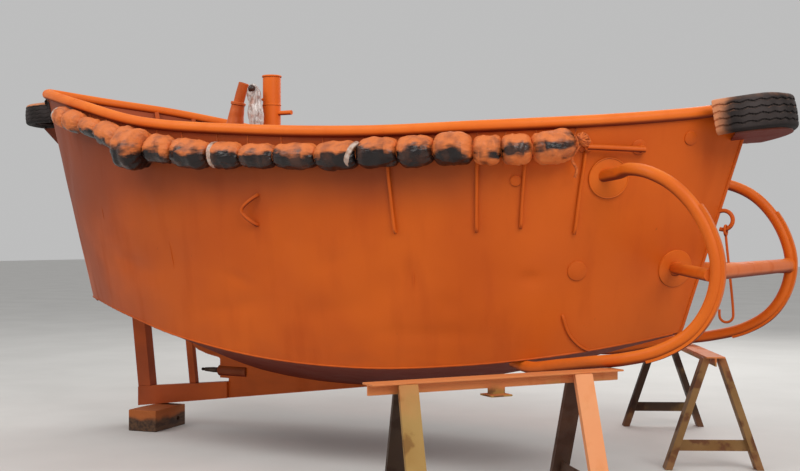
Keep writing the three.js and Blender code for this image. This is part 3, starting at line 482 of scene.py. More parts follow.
@dataclass(frozen=True)
class BareMetal:
    """Bare or dark metal, such as the shaft, the engine block and bolts."""

    name: str
    light: Colour
    dark: Colour
    metal: float
    rough: float

    def build(self) -> bpy.types.Material:
        """Makes the material."""
        mix = Recipe(self.name)
        stains = mix.speckle(22.0, detail=6.0).ramp(0.35, 0.7)
        colour = mix.blend(stains, self.light, self.dark)
        sockets = {"Base Color": colour, "Metallic": self.metal, "Roughness": self.rough + 0.25 * stains}
        return mix.finished(sockets, mix.speckle(90.0), 0.0006)


@dataclass(frozen=True)
class PlainCoat:
    """One even coat with slight mottling, such as the floor, tape or rope."""

    name: str
    colour: Colour
    other: Colour
    rough: float
    grain: float = 30.0
    relief: float = 0.0008

    def build(self) -> bpy.types.Material:
        """Makes the material."""
        mix = Recipe(self.name)
        mottle = mix.speckle(self.grain, detail=5.0)
        colour = mix.blend(mottle.ramp(0.3, 0.7), self.colour, self.other)
        return mix.finished({"Base Color": colour, "Roughness": self.rough}, mottle, self.relief)


def curve_through(controls: Sequence[Vector], count: int) -> list[Vector]:
    """Points at even spacing on a smooth curve through the control points.

    Args:
        controls: The points that the curve passes.
        count: How many points to return.

    Returns:
        The evenly spaced points, from the first control to the last.
    """
    before = controls[0] * 2 - controls[1]
    after = controls[-1] * 2 - controls[-2]
    points = [before, *controls, after]
    fine: list[Vector] = []
    for index in range(1, len(points) - 2):
        four = points[index - 1 : index + 3]
        knots = [0.0]
        for first, second in zip(four, four[1:]):
            knots.append(knots[-1] + math.sqrt((second - first).length))
        for step in range(CURVE_STEPS):
            at = knots[1] + (knots[2] - knots[1]) * step / CURVE_STEPS
            fine.append(_knotted(four, knots, at))
    fine.append(controls[-1].copy())
    return evenly(fine, count)


def _knotted(four: Sequence[Vector], knots: Sequence[float], at: float) -> Vector:
    """One point of a curve through the middle two of four points, from its uneven knots.

    Args:
        four: The four points.
        knots: The knot of each of them.
        at: Where the point lies, between the second knot and the third.

    Returns:
        The point.
    """
    level = list(four)
    for spans in KNOT_SPANS:
        blended = []
        for index, (low, high) in enumerate(spans):
            share = (at - knots[low]) / (knots[high] - knots[low])
            blended.append(level[index].lerp(level[index + 1], share))
        level = blended
    return level[0]


def evenly(points: Sequence[Vector], count: int) -> list[Vector]:
    """Spaces points evenly along a broken line.

    Args:
        points: The corners of the line.
        count: How many points to return.

    Returns:
        The points, both ends among them.
    """
    lengths = [0.0]
    for first, second in zip(points, points[1:]):
        lengths.append(lengths[-1] + (second - first).length)
    spaced = []
    corner = 0
    for index in range(count):
        target = lengths[-1] * index / (count - 1)
        while corner < len(points) - 2 and lengths[corner + 1] < target:
            corner += 1
        span = max(lengths[corner + 1] - lengths[corner], 1e-9)
        share = min(max((target - lengths[corner]) / span, 0.0), 1.0)
        spaced.append(points[corner].lerp(points[corner + 1], share))
    return spaced


def round_ring(radius: float, sides: int) -> Ring:
    """A circle as a ring of flat points."""
    turns = [2 * math.pi * index / sides for index in range(sides)]
    return [(radius * math.cos(turn), radius * math.sin(turn)) for turn in turns]


def flat_bar(thick: float, wide: float) -> Ring:
    """The section of a flat bar."""
    x, y = thick / 2, wide / 2
    return [(-x, -y), (x, -y), (x, y), (-x, y)]


def frames_along(path: Sequence[Vector], up: Vector) -> list[Matrix]:
    """Carries a frame along a path without twist.

    Args:
        path: The points to follow.
        up: A direction for the first frame's second axis to lie near.

    Returns:
        One matrix for each point, its third axis along the path.
    """
    last = len(path) - 1
    frames = []
    side = Vector()
    ahead = Vector()
    for index, point in enumerate(path):
        tangent = (path[min(index + 1, last)] - path[max(index - 1, 0)]).normalized()
        if index == 0:
            side = up.cross(tangent).normalized()
        else:
            side = (ahead.rotation_difference(tangent) @ side).normalized()
        ahead = tangent
        over = tangent.cross(side).normalized()
        frame = Matrix((side, over, tangent)).transposed().to_4x4()
        frame.translation = point
        frames.append(frame)
    return frames


def sweep(
    bm: bmesh.types.BMesh,
    ring: Ring,
    path: Sequence[Vector],
    up: Vector | None = None,
    sizes: Sequence[float] | None = None,
) -> None:
    """Draws a closed ring along a path, with capped ends.

    Args:
        bm: The mesh that gets the bar.
        ring: The section's flat points.
        path: The points to follow.
        up: A direction for the section's second axis.
        sizes: The section's scale at each point.
    """
    frames = frames_along(path, SLANT.normalized() if up is None else up)
    scales = list(sizes) if sizes else [1.0] * len(path)
    frames = [frame @ Matrix.Scale(size, 4) for frame, size in zip(frames, scales)]
    corners = [bm.verts.new(frames[0] @ Vector((x, y, 0))) for x, y in ring]
    edges = [bm.edges.new((corners[i - 1], corners[i])) for i in range(len(corners))]
    bmesh.ops.edgeloop_fill(bm, edges=edges)
    for previous, following in zip(frames, frames[1:]):
        grown = bmesh.ops.extrude_edge_only(bm, edges=edges)["geom"]
        edges = [part for part in grown if isinstance(part, bmesh.types.BMEdge)]
        moved = [part for part in grown if isinstance(part, bmesh.types.BMVert)]
        fresh = set(moved)
        edges = [edge for edge in edges if fresh.issuperset(edge.verts)]
        bmesh.ops.transform(bm, matrix=following @ previous.inverted(), verts=moved)
    bmesh.ops.edgeloop_fill(bm, edges=edges)


def disc(
    bm: bmesh.types.BMesh,
    centre: Vector,
    outward: Vector,
    radius: float,
    thickness: float,
    edge: float = 0.005,
    sunk: float = 0.02,
) -> None:
    """Adds a round plate with a softened outer rim.

    Args:
        bm: The mesh that gets the plate.
        centre: Its middle on the surface that it lies on.
        outward: The way its face looks.
        radius: Its radius.
        thickness: How far it stands out.
        edge: The rim's rounding.
        sunk: How far its rim runs on behind that surface.
    """
    corner = edge * 0.3
    profile = [(radius, -sunk), (radius, thickness - edge), (radius - corner, thickness - corner)]
    profile += [(radius - edge, thickness), (0.0, thickness)]
    spun(bm, profile, centre, outward, 40)


def spun(bm: bmesh.types.BMesh, profile: Ring, centre: Vector, axis: Vector, steps: int) -> None:
    """Spins a profile of radius and height pairs once round an axis.

    Args:
        bm: The mesh that gets the turned body.
        profile: Radius and height pairs, from the foot to the head.
        centre: The profile's zero point.
        axis: The direction of its height.
        steps: How many faces go round.
    """
    turn = UP.rotation_difference(axis.normalized()).to_matrix().to_4x4()
    placed = Matrix.Translation(centre) @ turn
    points = [bm.verts.new(placed @ Vector((radius, 0, height))) for radius, height in profile]
    edges = [bm.edges.new(pair) for pair in zip(points, points[1:])]
    bmesh.ops.spin(
        bm,
        geom=points + edges,
        cent=centre,
        axis=axis.normalized(),
        angle=2 * math.pi,
        steps=steps,
        use_merge=True,
        use_duplicate=False,
    )


def close_up(bm: bmesh.types.BMesh) -> None:
    """Merges doubled corners and turns the faces outwards."""
    bmesh.ops.remove_doubles(bm, verts=bm.verts, dist=MERGE_GAP)
    bmesh.ops.recalc_face_normals(bm, faces=bm.faces)


def thicken(made: bpy.types.Object, wall: float) -> None:
    """Gives a single sheet its thickness, on its inner side."""
    solid = made.modifiers.new("wall", "SOLIDIFY")
    solid.thickness = wall
    solid.offset = -1


@dataclass
class Workshop:
    """Turns finished meshes into pieces that ride on the frame, and paints the frame's own nodes.

    An edge of the frame's nodes that turns more than crisp_from degrees is rounded.
    """

    nodes: dict[str, bpy.types.Object]
    finishes: dict[str, bpy.types.Material] = field(default_factory=dict)
    crisp_from: float = 35.0

    def finish(self, coat: object) -> bpy.types.Material:
        """The material of a finish, made the first time that it is asked for.

        Args:
            coat: The finish.

        Returns:
            Its material.
        """
        name = coat.name
        if name not in self.finishes:
            self.finishes[name] = coat.build()
        return self.finishes[name]

    def piece(
        self,
        name: str,
        bm: bmesh.types.BMesh,
        coat: object,
        slot: Slot,
        stands_for: Sequence[str] = (),
        body: str = BOAT,
        sharp: float = 40.0,
        merged: bool = True,
    ) -> bpy.types.Object:
        """Makes one piece from a mesh that is measured from the boat's centreline.

        Args:
            name: The piece's name.
            bm: Its mesh, which is used up.
            coat: Its finish.
            slot: The record's slot for that finish.
            stands_for: The frame's nodes that it replaces.
            body: The body that it rides on.
            sharp: Edges that turn more than this many degrees stay crisp.
            merged: Whether its doubled corners are merged and its faces turned outwards first.

        Returns:
            The new object.
        """
        if merged:
            close_up(bm)
        bmesh.ops.translate(bm, vec=(0, CENTRE_Y, 0), verts=bm.verts)
        mesh = bpy.data.meshes.new(name)
        bm.to_mesh(mesh)
        bm.free()
        mesh.shade_smooth()
        mesh.set_sharp_from_angle(angle=math.radians(sharp))
        made = bpy.data.objects.new(name, mesh)
        bpy.context.scene.collection.objects.link(made)
        mesh.materials.append(self.finish(coat))
        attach(made, body)
        if stands_for:
            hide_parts(*stands_for)
        log.info("piece %s: %d faces", name, len(mesh.polygons))
        return made

    def dress(self, names: Sequence[str], coat: object, bevel: float = 0.0015) -> None:
        """Paints the frame's own nodes and softens their edges.

        Args:
            names: The nodes.
            coat: Their finish.
            bevel: How wide each edge is rounded.
        """
        for name in names:
            node = self.nodes[name]
            node.data.materials.clear()
            node.data.materials.append(self.finish(coat))
            weld = node.modifiers.new("weld", "WELD")
            weld.merge_threshold = MERGE_GAP
            soft = node.modifiers.new("soft_edges", "BEVEL")
            soft.width = bevel
            soft.segments = 2
            soft.limit_method = "ANGLE"
            soft.angle_limit = math.radians(self.crisp_from)
            log.info("dressed %s", name)


@dataclass(frozen=True)
class HullLines:
    """The hull's form: both ends alike in plan, the sheer swept up aft, the bottom rising at both ends.

    Each row of heights is a station from -1 at the stern to 1 at the bow, with the heights of the rail, the
    chine and the bottom there.
    """

    rail_middle: float = -0.080
    rail_half_length: float = 2.900
    rail_half_breadth: float = 1.200
    chine_middle: float = -0.055
    chine_half_length: float = 2.430
    chine_half_breadth: float = 1.000
    bulge: float = 0.022
    heights: tuple[tuple[float, float, float, float], ...] = (
        (-1.0, 2.680, 0.990, 0.975),
        (-0.9, 2.622, 1.003, 0.890),
        (-0.75, 2.545, 0.993, 0.785),
        (-0.55, 2.412, 0.918, 0.630),
        (-0.3, 2.240, 0.790, 0.470),
        (0.0, 2.150, 0.683, 0.412),
        (0.3, 2.105, 0.655, 0.455),
        (0.55, 2.118, 0.690, 0.575),
        (0.75, 2.148, 0.748, 0.690),
        (0.9, 2.200, 0.818, 0.795),
        (1.0, 2.265, 0.878, 0.868),
    )

    def height(self, column: int, at: float) -> float:
        """A height of the hull's form between its stations.

        Args:
            column: Which height: the rail's (1), the chine's (2) or the bottom's (3).
            at: The station.

        Returns:
            The height in metres.
        """
        rows = self.heights
        row = 0
        while row < len(rows) - 2 and at > rows[row + 1][0]:
            row += 1
        before, left = rows[max(row - 1, 0)], rows[row]
        right, after = rows[row + 1], rows[min(row + 2, len(rows) - 1)]
        span = right[0] - left[0]
        share = (at - left[0]) / span
        slope_left = (right[column] - before[column]) / (right[0] - before[0]) * span
        slope_right = (after[column] - left[column]) / (after[0] - left[0]) * span
        square, cube = share**2, share**3
        rise = (2 * cube - 3 * square + 1) * left[column] + (cube - 2 * square + share) * slope_left
        return rise + (3 * square - 2 * cube) * right[column] + (cube - square) * slope_right

    @staticmethod
    def fullness(at: float) -> float:
        """The share of the greatest breadth at a station."""
        return 1 - abs(at) ** 3

    def rail(self, at: float, side: int) -> Vector:
        """A point of the rail."""
        x = self.rail_middle + self.rail_half_length * at
        return Vector((x, side * self.rail_half_breadth * self.fullness(at), self.height(1, at)))

    def chine(self, at: float, side: int) -> Vector:
        """A point of the chine."""
        x = self.chine_middle + self.chine_half_length * at
        return Vector((x, side * self.chine_half_breadth * self.fullness(at), self.height(2, at)))

    def keel(self, at: float) -> Vector:
        """A point of the bottom's centreline."""
        return Vector((self.chine_middle + self.chine_half_length * at, 0, self.height(3, at)))

    def plate(self, at: float, down: float, side: int) -> Vector:
        """A point of the side or of the bottom.

        Args:
            at: The station.
            down: The share down the side from the rail (0) to the chine (1), and on to the keel (2).
            side: The side of the boat.

        Returns:
            The point.
        """
        if down > 1:
            return self.chine(at, side).lerp(self.keel(at), down - 1)
        point = self.rail(at, side).lerp(self.chine(at, side), down)
        point.y += side * self.bulge * self.fullness(at) * math.sin(math.pi * down)
        return point

    def spot(self, at: float, down: float, side: int, stand_off: float = 0.0) -> Vector:
        """A point at a distance out from the side."""
        return self.plate(at, down, side) + self.outward(at, down, side) * stand_off

    def outward(self, at: float, down: float, side: int) -> Vector:
        """The way that the plating faces at a point.

        Args:
            at: The station.
            down: The share down the side.
            side: The side of the boat.

        Returns:
            The direction, of length 1.
        """
        step = 0.01
        forward = self.plate(at + step, down, side) - self.plate(at - step, down, side)
        lower = self.plate(at, down + step, side) - self.plate(at, down - step, side)
        normal = forward.cross(lower).normalized()
        return normal if normal.y * side > 0 else -normal

    def half_breadth(self, x: float, z: float) -> float:
        """Half the breadth between the sides at a place above the chine.

        Args:
            x: The place's distance along the boat.
            z: Its height.

        Returns:
            The half breadth, or 0 past the ends.
        """
        at, down = (x - self.rail_middle) / self.rail_half_length, 0.0
        for _ in range(5):
            inside = min(max(at, -1.0), 1.0)
            rail, chine = self.rail(inside, 1), self.chine(inside, 1)
            down = min(max((rail.z - z) / (rail.z - chine.z), 0.0), 1.0)
            at += (x - rail.lerp(chine, down).x) / self.rail_half_length
        return self.plate(at, down, 1).y if abs(at) < 1 else 0.0


@dataclass
class Dent:
    """One knock in the plating, as a station, a share down the side, a size in metres and a depth."""

    at: float
    down: float
    long: float
    tall: float
    depth: float
    lean: float = 0.0

    def push(self, x: float, z: float, middle: Vector) -> float:
        """How far the plate is pushed in at a point.

        Args:
            x: The point's place along the boat.
            z: Its height.
            middle: The dent's deepest point.

        Returns:
            The depth there, in metres.
        """
        along, up = x - middle.x, z - middle.z
        turned_x = along * math.cos(self.lean) + up * math.sin(self.lean)
        turned_z = up * math.cos(self.lean) - along * math.sin(self.lean)
        return self.depth * math.exp(-((turned_x / self.long) ** 2) - (turned_z / self.tall) ** 2)


@dataclass
class Plating:
    """The dented plating, its stem and stern bars, the frames inside and the small fittings on the side.

    A place on the side is a station and a share down from the rail. Each rod is a list of places, with its
    distance off the plating and its radius. Each place of the handle has its own distance off. Each doubler is
    a place, a radius and a thickness.
    """

    lines: HullLines
    shop: Workshop
    wall: float = 0.010
    stations: int = 240
    side_rows: int = 52
    bottom_rows: int = 12
    unfair: float = 0.0042
    rippled: float = 0.0014
    bar: float = 0.011
    weld: float = 0.006
    weld_end: float = 0.985
    weld_steps: int = 160
    frame_stations: tuple[float, ...] = (-0.56, -0.42, -0.28, -0.14, 0.0, 0.14, 0.28, 0.42, 0.54)
    knee_stations: tuple[float, ...] = (-0.787, -0.697)
    sunk: float = -0.008
    rods: tuple[tuple[tuple[tuple[float, float], ...], float, float], ...] = (
        (((0.352, 0.13), (0.364, 0.3), (0.375, 0.42)), 0.013, 0.0105),
        (((0.538, 0.13), (0.545, 0.3), (0.552, 0.43)), 0.013, 0.0105),
        (((0.629, 0.13), (0.634, 0.3), (0.639, 0.425)), 0.013, 0.0105),
        (((0.735, 0.13), (0.739, 0.3), (0.743, 0.467)), 0.013, 0.0105),
        (((0.751, 0.825), (0.76, 0.871), (0.774, 0.92), (0.795, 0.966), (0.815, 0.995)), 0.008, 0.009),
    )
    handle: tuple[tuple[float, float, float], ...] = (
        (0.021, 0.279, -0.008),
        (0.021, 0.281, 0.012),
        (-0.017, 0.349, 0.046),
        (0.014, 0.408, 0.012),
        (0.014, 0.41, -0.008),
    )
    handle_radius: float = 0.0115
    doublers: tuple[tuple[float, float, float, float], ...] = (
        (0.617, 0.23, 0.034, 0.010),
        (0.763, 0.634, 0.060, 0.008),
        (0.911, 0.107, 0.043, 0.008),
        (0.733, 0.1, 0.046, 0.006),
        (0.827, 0.125, 0.046, 0.006),
    )
    dents: tuple[Dent, ...] = (
        Dent(-0.60, 0.55, 0.20, 0.10, 0.014, 0.3),
        Dent(-0.45, 0.72, 0.26, 0.07, 0.015, -0.2),
        Dent(-0.28, 0.62, 0.16, 0.16, 0.013),
        Dent(-0.10, 0.80, 0.30, 0.06, 0.014, 0.15),
        Dent(0.06, 0.60, 0.15, 0.20, 0.012, -0.5),
        Dent(0.20, 0.76, 0.24, 0.08, 0.013, 0.1),
        Dent(0.36, 0.66, 0.18, 0.12, 0.012, 0.6),
        Dent(0.47, 0.86, 0.30, 0.05, 0.013),
        Dent(0.60, 0.62, 0.12, 0.16, 0.010, -0.3),
        Dent(0.70, 0.44, 0.10, 0.10, 0.007),
        Dent(0.86, 0.48, 0.08, 0.20, 0.008, 0.4),
        Dent(-0.76, 0.36, 0.10, 0.22, 0.010, -0.3),
        Dent(0.409, 0.600, 0.035, 0.090, 0.013, 0.15),
        Dent(0.672, 0.649, 0.065, 0.040, 0.013, 0.2),
        Dent(0.10, 0.46, 0.050, 0.110, 0.008, -0.4),
        Dent(0.22, 0.55, 0.090, 0.040, 0.008, 0.5),
        Dent(-0.06, 0.66, 0.110, 0.035, 0.009, -0.3),
        Dent(-0.33, 0.40, 0.040, 0.100, 0.007, 0.3),
        Dent(0.50, 0.74, 0.045, 0.060, 0.007, -0.6),
    )

    def pushed(self, at: float, down: float, side: int, middles: Sequence[Vector]) -> Vector:
        """A point of the plating with its dents and its unfair waves.

        Args:
            at: The station.
            down: The share down the side.
            side: The side of the boat.
            middles: The deepest point of each dent on that side.

        Returns:
            The point.
        """
        point = self.lines.plate(at, down, side)
        if abs(at) > 0.985:
            return point
        fade = math.sin(math.pi * min(max(down, 0), 1)) ** 0.5 if down < 1 else 0.35
        ends = min(1.0, (1 - abs(at)) * 9)
        wave = noise.noise(Vector((point.x * 1.6, side * 4.0, point.z * 2.6)))
        ripple = noise.noise(Vector((point.x * 5.5, side * 9.0, point.z * 6.0)))
        inward = self.unfair * wave + self.rippled * ripple
        if down < 1:
            for dent, middle in zip(self.dents, middles):
                inward += dent.push(point.x, point.z, middle)
        return point - self.lines.outward(at, min(down, 0.97), side) * inward * fade * ends

    def shell(self) -> None:
        """The whole plating as one folded sheet with a real thickness."""
        half = self.side_rows + self.bottom_rows
        middles = {
            side: [self.lines.plate(dent.at, dent.down, side) for dent in self.dents] for side in (-1, 1)
        }
        bm = bmesh.new()
        bmesh.ops.create_grid(bm, x_segments=self.stations, y_segments=2 * half, size=1.0)
        for vert in bm.verts:
            at = math.sin(vert.co.x * math.pi / 2)
            side = 1 if vert.co.y > 0 else -1
            row = (1 - abs(vert.co.y)) * half
            if row <= self.side_rows:
                down = row / self.side_rows
            else:
                down = 1 + (row - self.side_rows) / self.bottom_rows
            vert.co = self.pushed(at, down, side, middles[side])
        # The plating takes the painted shade band under the fender rolls
        coat = Enamel(name="plating_enamel", shaded=0.6)
        hull = ["hull_stern", "hull_waist", "hull_bow"]
        thicken(self.shop.piece("plating", bm, coat, Slot.HULL, hull, sharp=28), self.wall)

    def end_bars(self) -> None:
        """Round bars that close the stem and the stern."""
        bm = bmesh.new()
        for at in (-1, 1):
            top, foot = self.lines.rail(at, 1), self.lines.chine(at, 1)
            low = self.lines.keel(at * self.weld_end)
            path = evenly([top.lerp(foot, 0.02), foot, low], 40)
            sweep(bm, round_ring(self.bar, 12), path, ACROSS)
        self.shop.piece("stem_and_stern_bars", bm, Enamel(), Slot.HULL)

    def chine_weld(self) -> None:
        """The raised weld along each chine."""
        end, last = self.weld_end, self.weld_steps
        beads = [1 + 0.16 * math.sin(step * 2.3) for step in range(last + 1)]
        bm = bmesh.new()
        for side in (-1, 1):
            path = [self.lines.chine(-end + 2 * end * step / last, side) for step in range(last + 1)]
            sweep(bm, round_ring(self.weld, 8), path, ACROSS, beads)
        self.shop.piece("chine_welds", bm, Enamel(), Slot.HULL)

    def inner_frames(self) -> None:
        """Flat bars up the inside of the plating, and two short brackets under the rail."""
        bm = bmesh.new()
        for side in (-1, 1):
            for at in self.frame_stations:
                inner = [self.lines.spot(at, 0.05 + 0.62 * step / 14, side, -0.036) for step in range(15)]
                sweep(bm, flat_bar(0.008, 0.056), inner, self.lines.outward(at, 0.4, side))
            for at in self.knee_stations:
                inner = [self.lines.spot(at, 0.02 + 0.16 * step / 6, side, -0.030) for step in range(7)]
                sweep(bm, flat_bar(0.034, 0.044), inner, self.lines.outward(at, 0.1, side))
        self.shop.piece("inner_frames", bm, Enamel(wear=0.3), Slot.HULL, sharp=30)

    def bent_rod(
        self,
        bm: bmesh.types.BMesh,
        places: Sequence[tuple[float, float, float]],
        side: int,
        radius: float,
        count: int,
    ) -> None:
        """Adds a rod bent through places on the side.

        Args:
            bm: The mesh that gets the rod.
            places: The stations, shares down the side and distances off the plating that it passes.
            side: The side of the boat.
            radius: The rod's radius.
            count: How many rings it has.
        """
        corners = [self.lines.spot(at, down, side, off) for at, down, off in places]
        sweep(bm, round_ring(radius, 10), curve_through(corners, count))

    def fittings(self) -> None:
        """Hanger rods, the bent handle, doubler discs and the bent rod by the chine."""
        bm = bmesh.new()
        for side in (-1, 1):
            for places, off, radius in self.rods:
                between = [(*place, off) for place in places]
                route = [(*places[0], self.sunk), *between, (*places[-1], self.sunk)]
                self.bent_rod(bm, route, side, radius, 26)
            self.bent_rod(bm, self.handle, side, self.handle_radius, 30)
            for at, down, radius, thickness in self.doublers:
                middle, out = self.lines.plate(at, down, side), self.lines.outward(at, down, side)
                disc(bm, middle, out, radius, thickness)
        self.shop.piece("side_fittings", bm, Enamel(wear=0.8), Slot.HULL)

    def build(self) -> None:
        """Makes every piece of the plating."""
        self.shell()
        self.end_bars()
        self.chine_weld()
        self.inner_frames()
        self.fittings()


@dataclass
class RailAndDecks:
    """The rail pipe, the end decks, the bulkheads and the sole."""

    lines: HullLines
    shop: Workshop
    pipe: float = 0.037

    def rail(self) -> None:
        """The rail's pipe, one length for each side, joined by welds at the stem and the stern."""
        bm = bmesh.new()
        for side in (-1, 1):
            path = [self.lines.rail(math.sin((step / 150 - 0.5) * math.pi), side) for step in range(151)]
            sweep(bm, round_ring(self.pipe, 20), path)
        pipes = ["rail_pipe_starboard", "rail_pipe_port"]
        self.shop.piece("rail_pipes", bm, LIT_RAIL_COAT, Slot.HULL, pipes)

    def build(self) -> None:
        """Makes the rail and paints the decks."""
        self.rail()
        decks = ["foredeck", "aft_deck", "fore_bulkhead", "aft_bulkhead", "cockpit_sole"]
        self.shop.dress(decks, Enamel(name="deck_enamel", wear=1.0, gloss=0.5))


@dataclass
class EngineSpace:
    """The engine casing with its lid, the exhaust stack, the bent vent and the wrapped control stand."""

    shop: Workshop
    casing_top: float = 1.8003
    stack_x: float = -0.722
    stack_foot: float = 1.6247
    stack_top: float = 2.680
    stack_radius: float = 0.067
    stub_height: float = 2.396
    stub_reach: float = 0.178
    seam_height: float = 2.452
    stub_radius: float = 0.017
    vent_x: float = -1.170
    neck_x: float = -1.030
    neck_height: float = 2.500
    spout_radius: float = 0.040
    flange_bolts: int = 6
    stand_y: float = -0.145
    stand_width: float = 0.85
    knob_radius: float = 0.028

    def stack(self) -> None:
        """The exhaust stack, with its rim, its seam, two weld lumps and a stub on its forward side."""
        r, foot, top, bore = self.stack_radius, self.stack_foot, self.stack_top, self.stack_radius - 0.007
        seam = self.seam_height
        profile = [(0.0, foot), (r, foot)]
        profile += [(r, seam), (r + 0.003, seam + 0.003), (r + 0.003, seam + 0.011), (r, seam + 0.014)]
        profile += [(r, top - 0.015), (r + 0.006, top - 0.012), (r + 0.007, top - 0.004), (r + 0.004, top)]
        profile += [(bore, top), (bore, top - 0.42), (0.0, top - 0.42)]
        bm = bmesh.new()
        spun(bm, profile, Vector((self.stack_x, 0, 0)), UP, 48)
        start = Vector((self.stack_x + 0.04, 0, self.stub_height))
        end = Vector((self.stack_x + self.stub_reach, 0, self.stub_height))
        sweep(bm, round_ring(self.stub_radius, 16), evenly([start, end], 6))
        lump = [(0.0, -0.012), (0.010, -0.008), (0.014, 0.0), (0.010, 0.008), (0.0, 0.012)]
        for height in (2.44, 2.50):
            spun(bm, lump, Vector((self.stack_x - r * 0.72, -r * 0.66, height)), UP, 12)
        self.shop.piece("exhaust_pipe", bm, STACK_COAT, Slot.HULL, ["exhaust_stack"])

    def vent(self) -> None:
        """The bent vent: a tapered body on its bolted flange, a collar at the neck and a spout."""
        foot = self.casing_top + 0.0005
        # The body's middle along the boat, its height and its radius there
        rising = [(self.vent_x, foot, 0.074), (self.vent_x, foot + 0.012, 0.074), (-1.160, 1.85, 0.073)]
        rising += [(-1.068, 2.311, 0.067), (-1.050, 2.40, 0.058), (self.neck_x, self.neck_height, 0.048)]
        bm = bmesh.new()
        thick = curve_through([Vector((x, radius, z)) for x, z, radius in rising], 60)
        path = [Vector((point.x, 0, point.z)) for point in thick]
        sweep(bm, round_ring(1.0, 36), path, ACROSS, [point.y for point in thick])
        neck, lean = Vector((self.neck_x, 0, self.neck_height)), Vector((0.197, 0, 0.980))
        collar = [(0.0, -0.024), (0.053, -0.024), (0.057, -0.020), (0.057, -0.004), (0.053, 0.0), (0.0, 0.0)]
        spun(bm, collar, neck, lean, 36)
        knee, end = Vector((-1.004, 0, 2.570)), Vector((-0.978, 0, 2.640))
        r, length = self.spout_radius, (end - knee).length
        sweep(bm, round_ring(r, 28), evenly([Vector((self.neck_x, 0, self.neck_height - 0.010)), knee], 5))
        spout = [(0.0, -0.006), (r, -0.006), (r, length - 0.002), (r - 0.002, length)]
        spout += [(r - 0.006, length), (r - 0.006, 0.008), (0.0, 0.008)]
        spun(bm, spout, knee, end - knee, 28)
        middle = Vector((self.vent_x, 0, foot))
        flange = [(0.0, 0.0), (0.095, 0.0), (0.095, 0.009), (0.092, 0.012), (0.0, 0.012)]
        spun(bm, flange, middle, UP, 40)
        bolt = [(0.0, -0.002), (0.008, -0.002), (0.008, 0.006), (0.005, 0.008), (0.0, 0.008)]
        for x, y in round_ring(0.084, self.flange_bolts):
            spun(bm, bolt, middle + Vector((x, y, 0.011)), UP, 6)
        for vert in bm.verts:
            if foot + 0.03 < vert.co.z < 2.47:
                ripple = noise.noise(Vector((vert.co.x * 12, vert.co.y * 12, vert.co.z * 22)))
                vert.co += Vector((vert.co.x + 1.10, vert.co.y, 0)).normalized() * 0.004 * ripple
        self.shop.piece("bent_vent", bm, VENT_COAT, Slot.HULL, ["vent_pipe"])

    def wrapped_stand(self) -> None:
        """The control stand's film: it leans aft, pleated at its neck and puffed out over the controls."""
        # The film's middle along the boat, its height over the casing and its radius there
        rings = [(-0.766, 0.030, 0.040), (-0.760, 0.240, 0.043), (-0.756, 0.380, 0.059)]
        rings += [(-0.756, 0.500, 0.055), (-0.764, 0.590, 0.063), (-0.774, 0.660, 0.051)]
        rings += [(-0.788, 0.740, 0.057), (-0.798, 0.785, 0.039), (-0.802, 0.805, 0.016)]
        thick = [Vector((-0.768, 0.080, 0.0)), Vector((-0.768, 0.080, 0.012))]
        thick += curve_through([Vector((x, radius, height)) for x, height, radius in rings], 90)
        ring = [(x, y * self.stand_width) for x, y in round_ring(1.0, 72)]
        path = [Vector((point.x, self.stand_y, self.casing_top + point.z)) for point in thick]
        bm = bmesh.new()
        sweep(bm, ring, path, ACROSS, [point.y for point in thick])
        for vert in bm.verts:
            height = vert.co.z - self.casing_top
            if height < 0.04:
                continue
            axis = Vector((-0.766, self.stand_y, vert.co.z))
            turn = math.atan2(vert.co.y - axis.y, vert.co.x - axis.x)
            pleat = math.sin(turn * 8 + noise.noise(vert.co * 7) * 5)
            crumple = noise.noise(vert.co * 26) * 0.007 + noise.noise(vert.co * 60) * 0.003 + pleat * 0.004
            out = (vert.co - axis).normalized()
            vert.co += out * (crumple - 0.004)
        self.shop.piece("film_wrapped_stand", bm, ClearFilm(), Slot.FILM, ["wrapped_control_stand"], sharp=70)

    def knob(self) -> None:
        """The dark knob of a control lever, which stands out of the film's top."""
        middle, r = Vector((-0.776, self.stand_y - 0.034, 2.568)), self.knob_radius
        turns = [index * math.pi / 14 for index in range(1, 14)]
        ball = [(r * math.sin(turn), -r * math.cos(turn)) for turn in turns]
        bm = bmesh.new()
        spun(bm, [(0.0, -r), *ball, (0.0, r)], middle, Vector((0.1, -0.1, 1)), 24)
        sweep(bm, round_ring(0.008, 12), evenly([middle, middle + Vector((-0.012, 0.026, -0.080))], 4))
        coat = PlainCoat("dark_knob", (0.02, 0.012, 0.01), (0.07, 0.03, 0.02), 0.4)
        self.shop.piece("lever_knob", bm, coat, Slot.TYRE)

    def build(self) -> None:
        """Makes the round pieces and paints the casing, its lid, its hinge ears and the engine block."""
        self.stack()
        self.vent()
        self.wrapped_stand()
        self.knob()
        casing = ["engine_casing", "casing_lid", "lid_hinge_ears"]
        self.shop.dress(casing, Enamel(name="casing_enamel", wear=0.8))
        iron = BareMetal("engine_iron", (0.05, 0.07, 0.06), (0.02, 0.022, 0.022), 0.4, 0.5)
        self.shop.dress(["engine_block"], iron, 0.006)


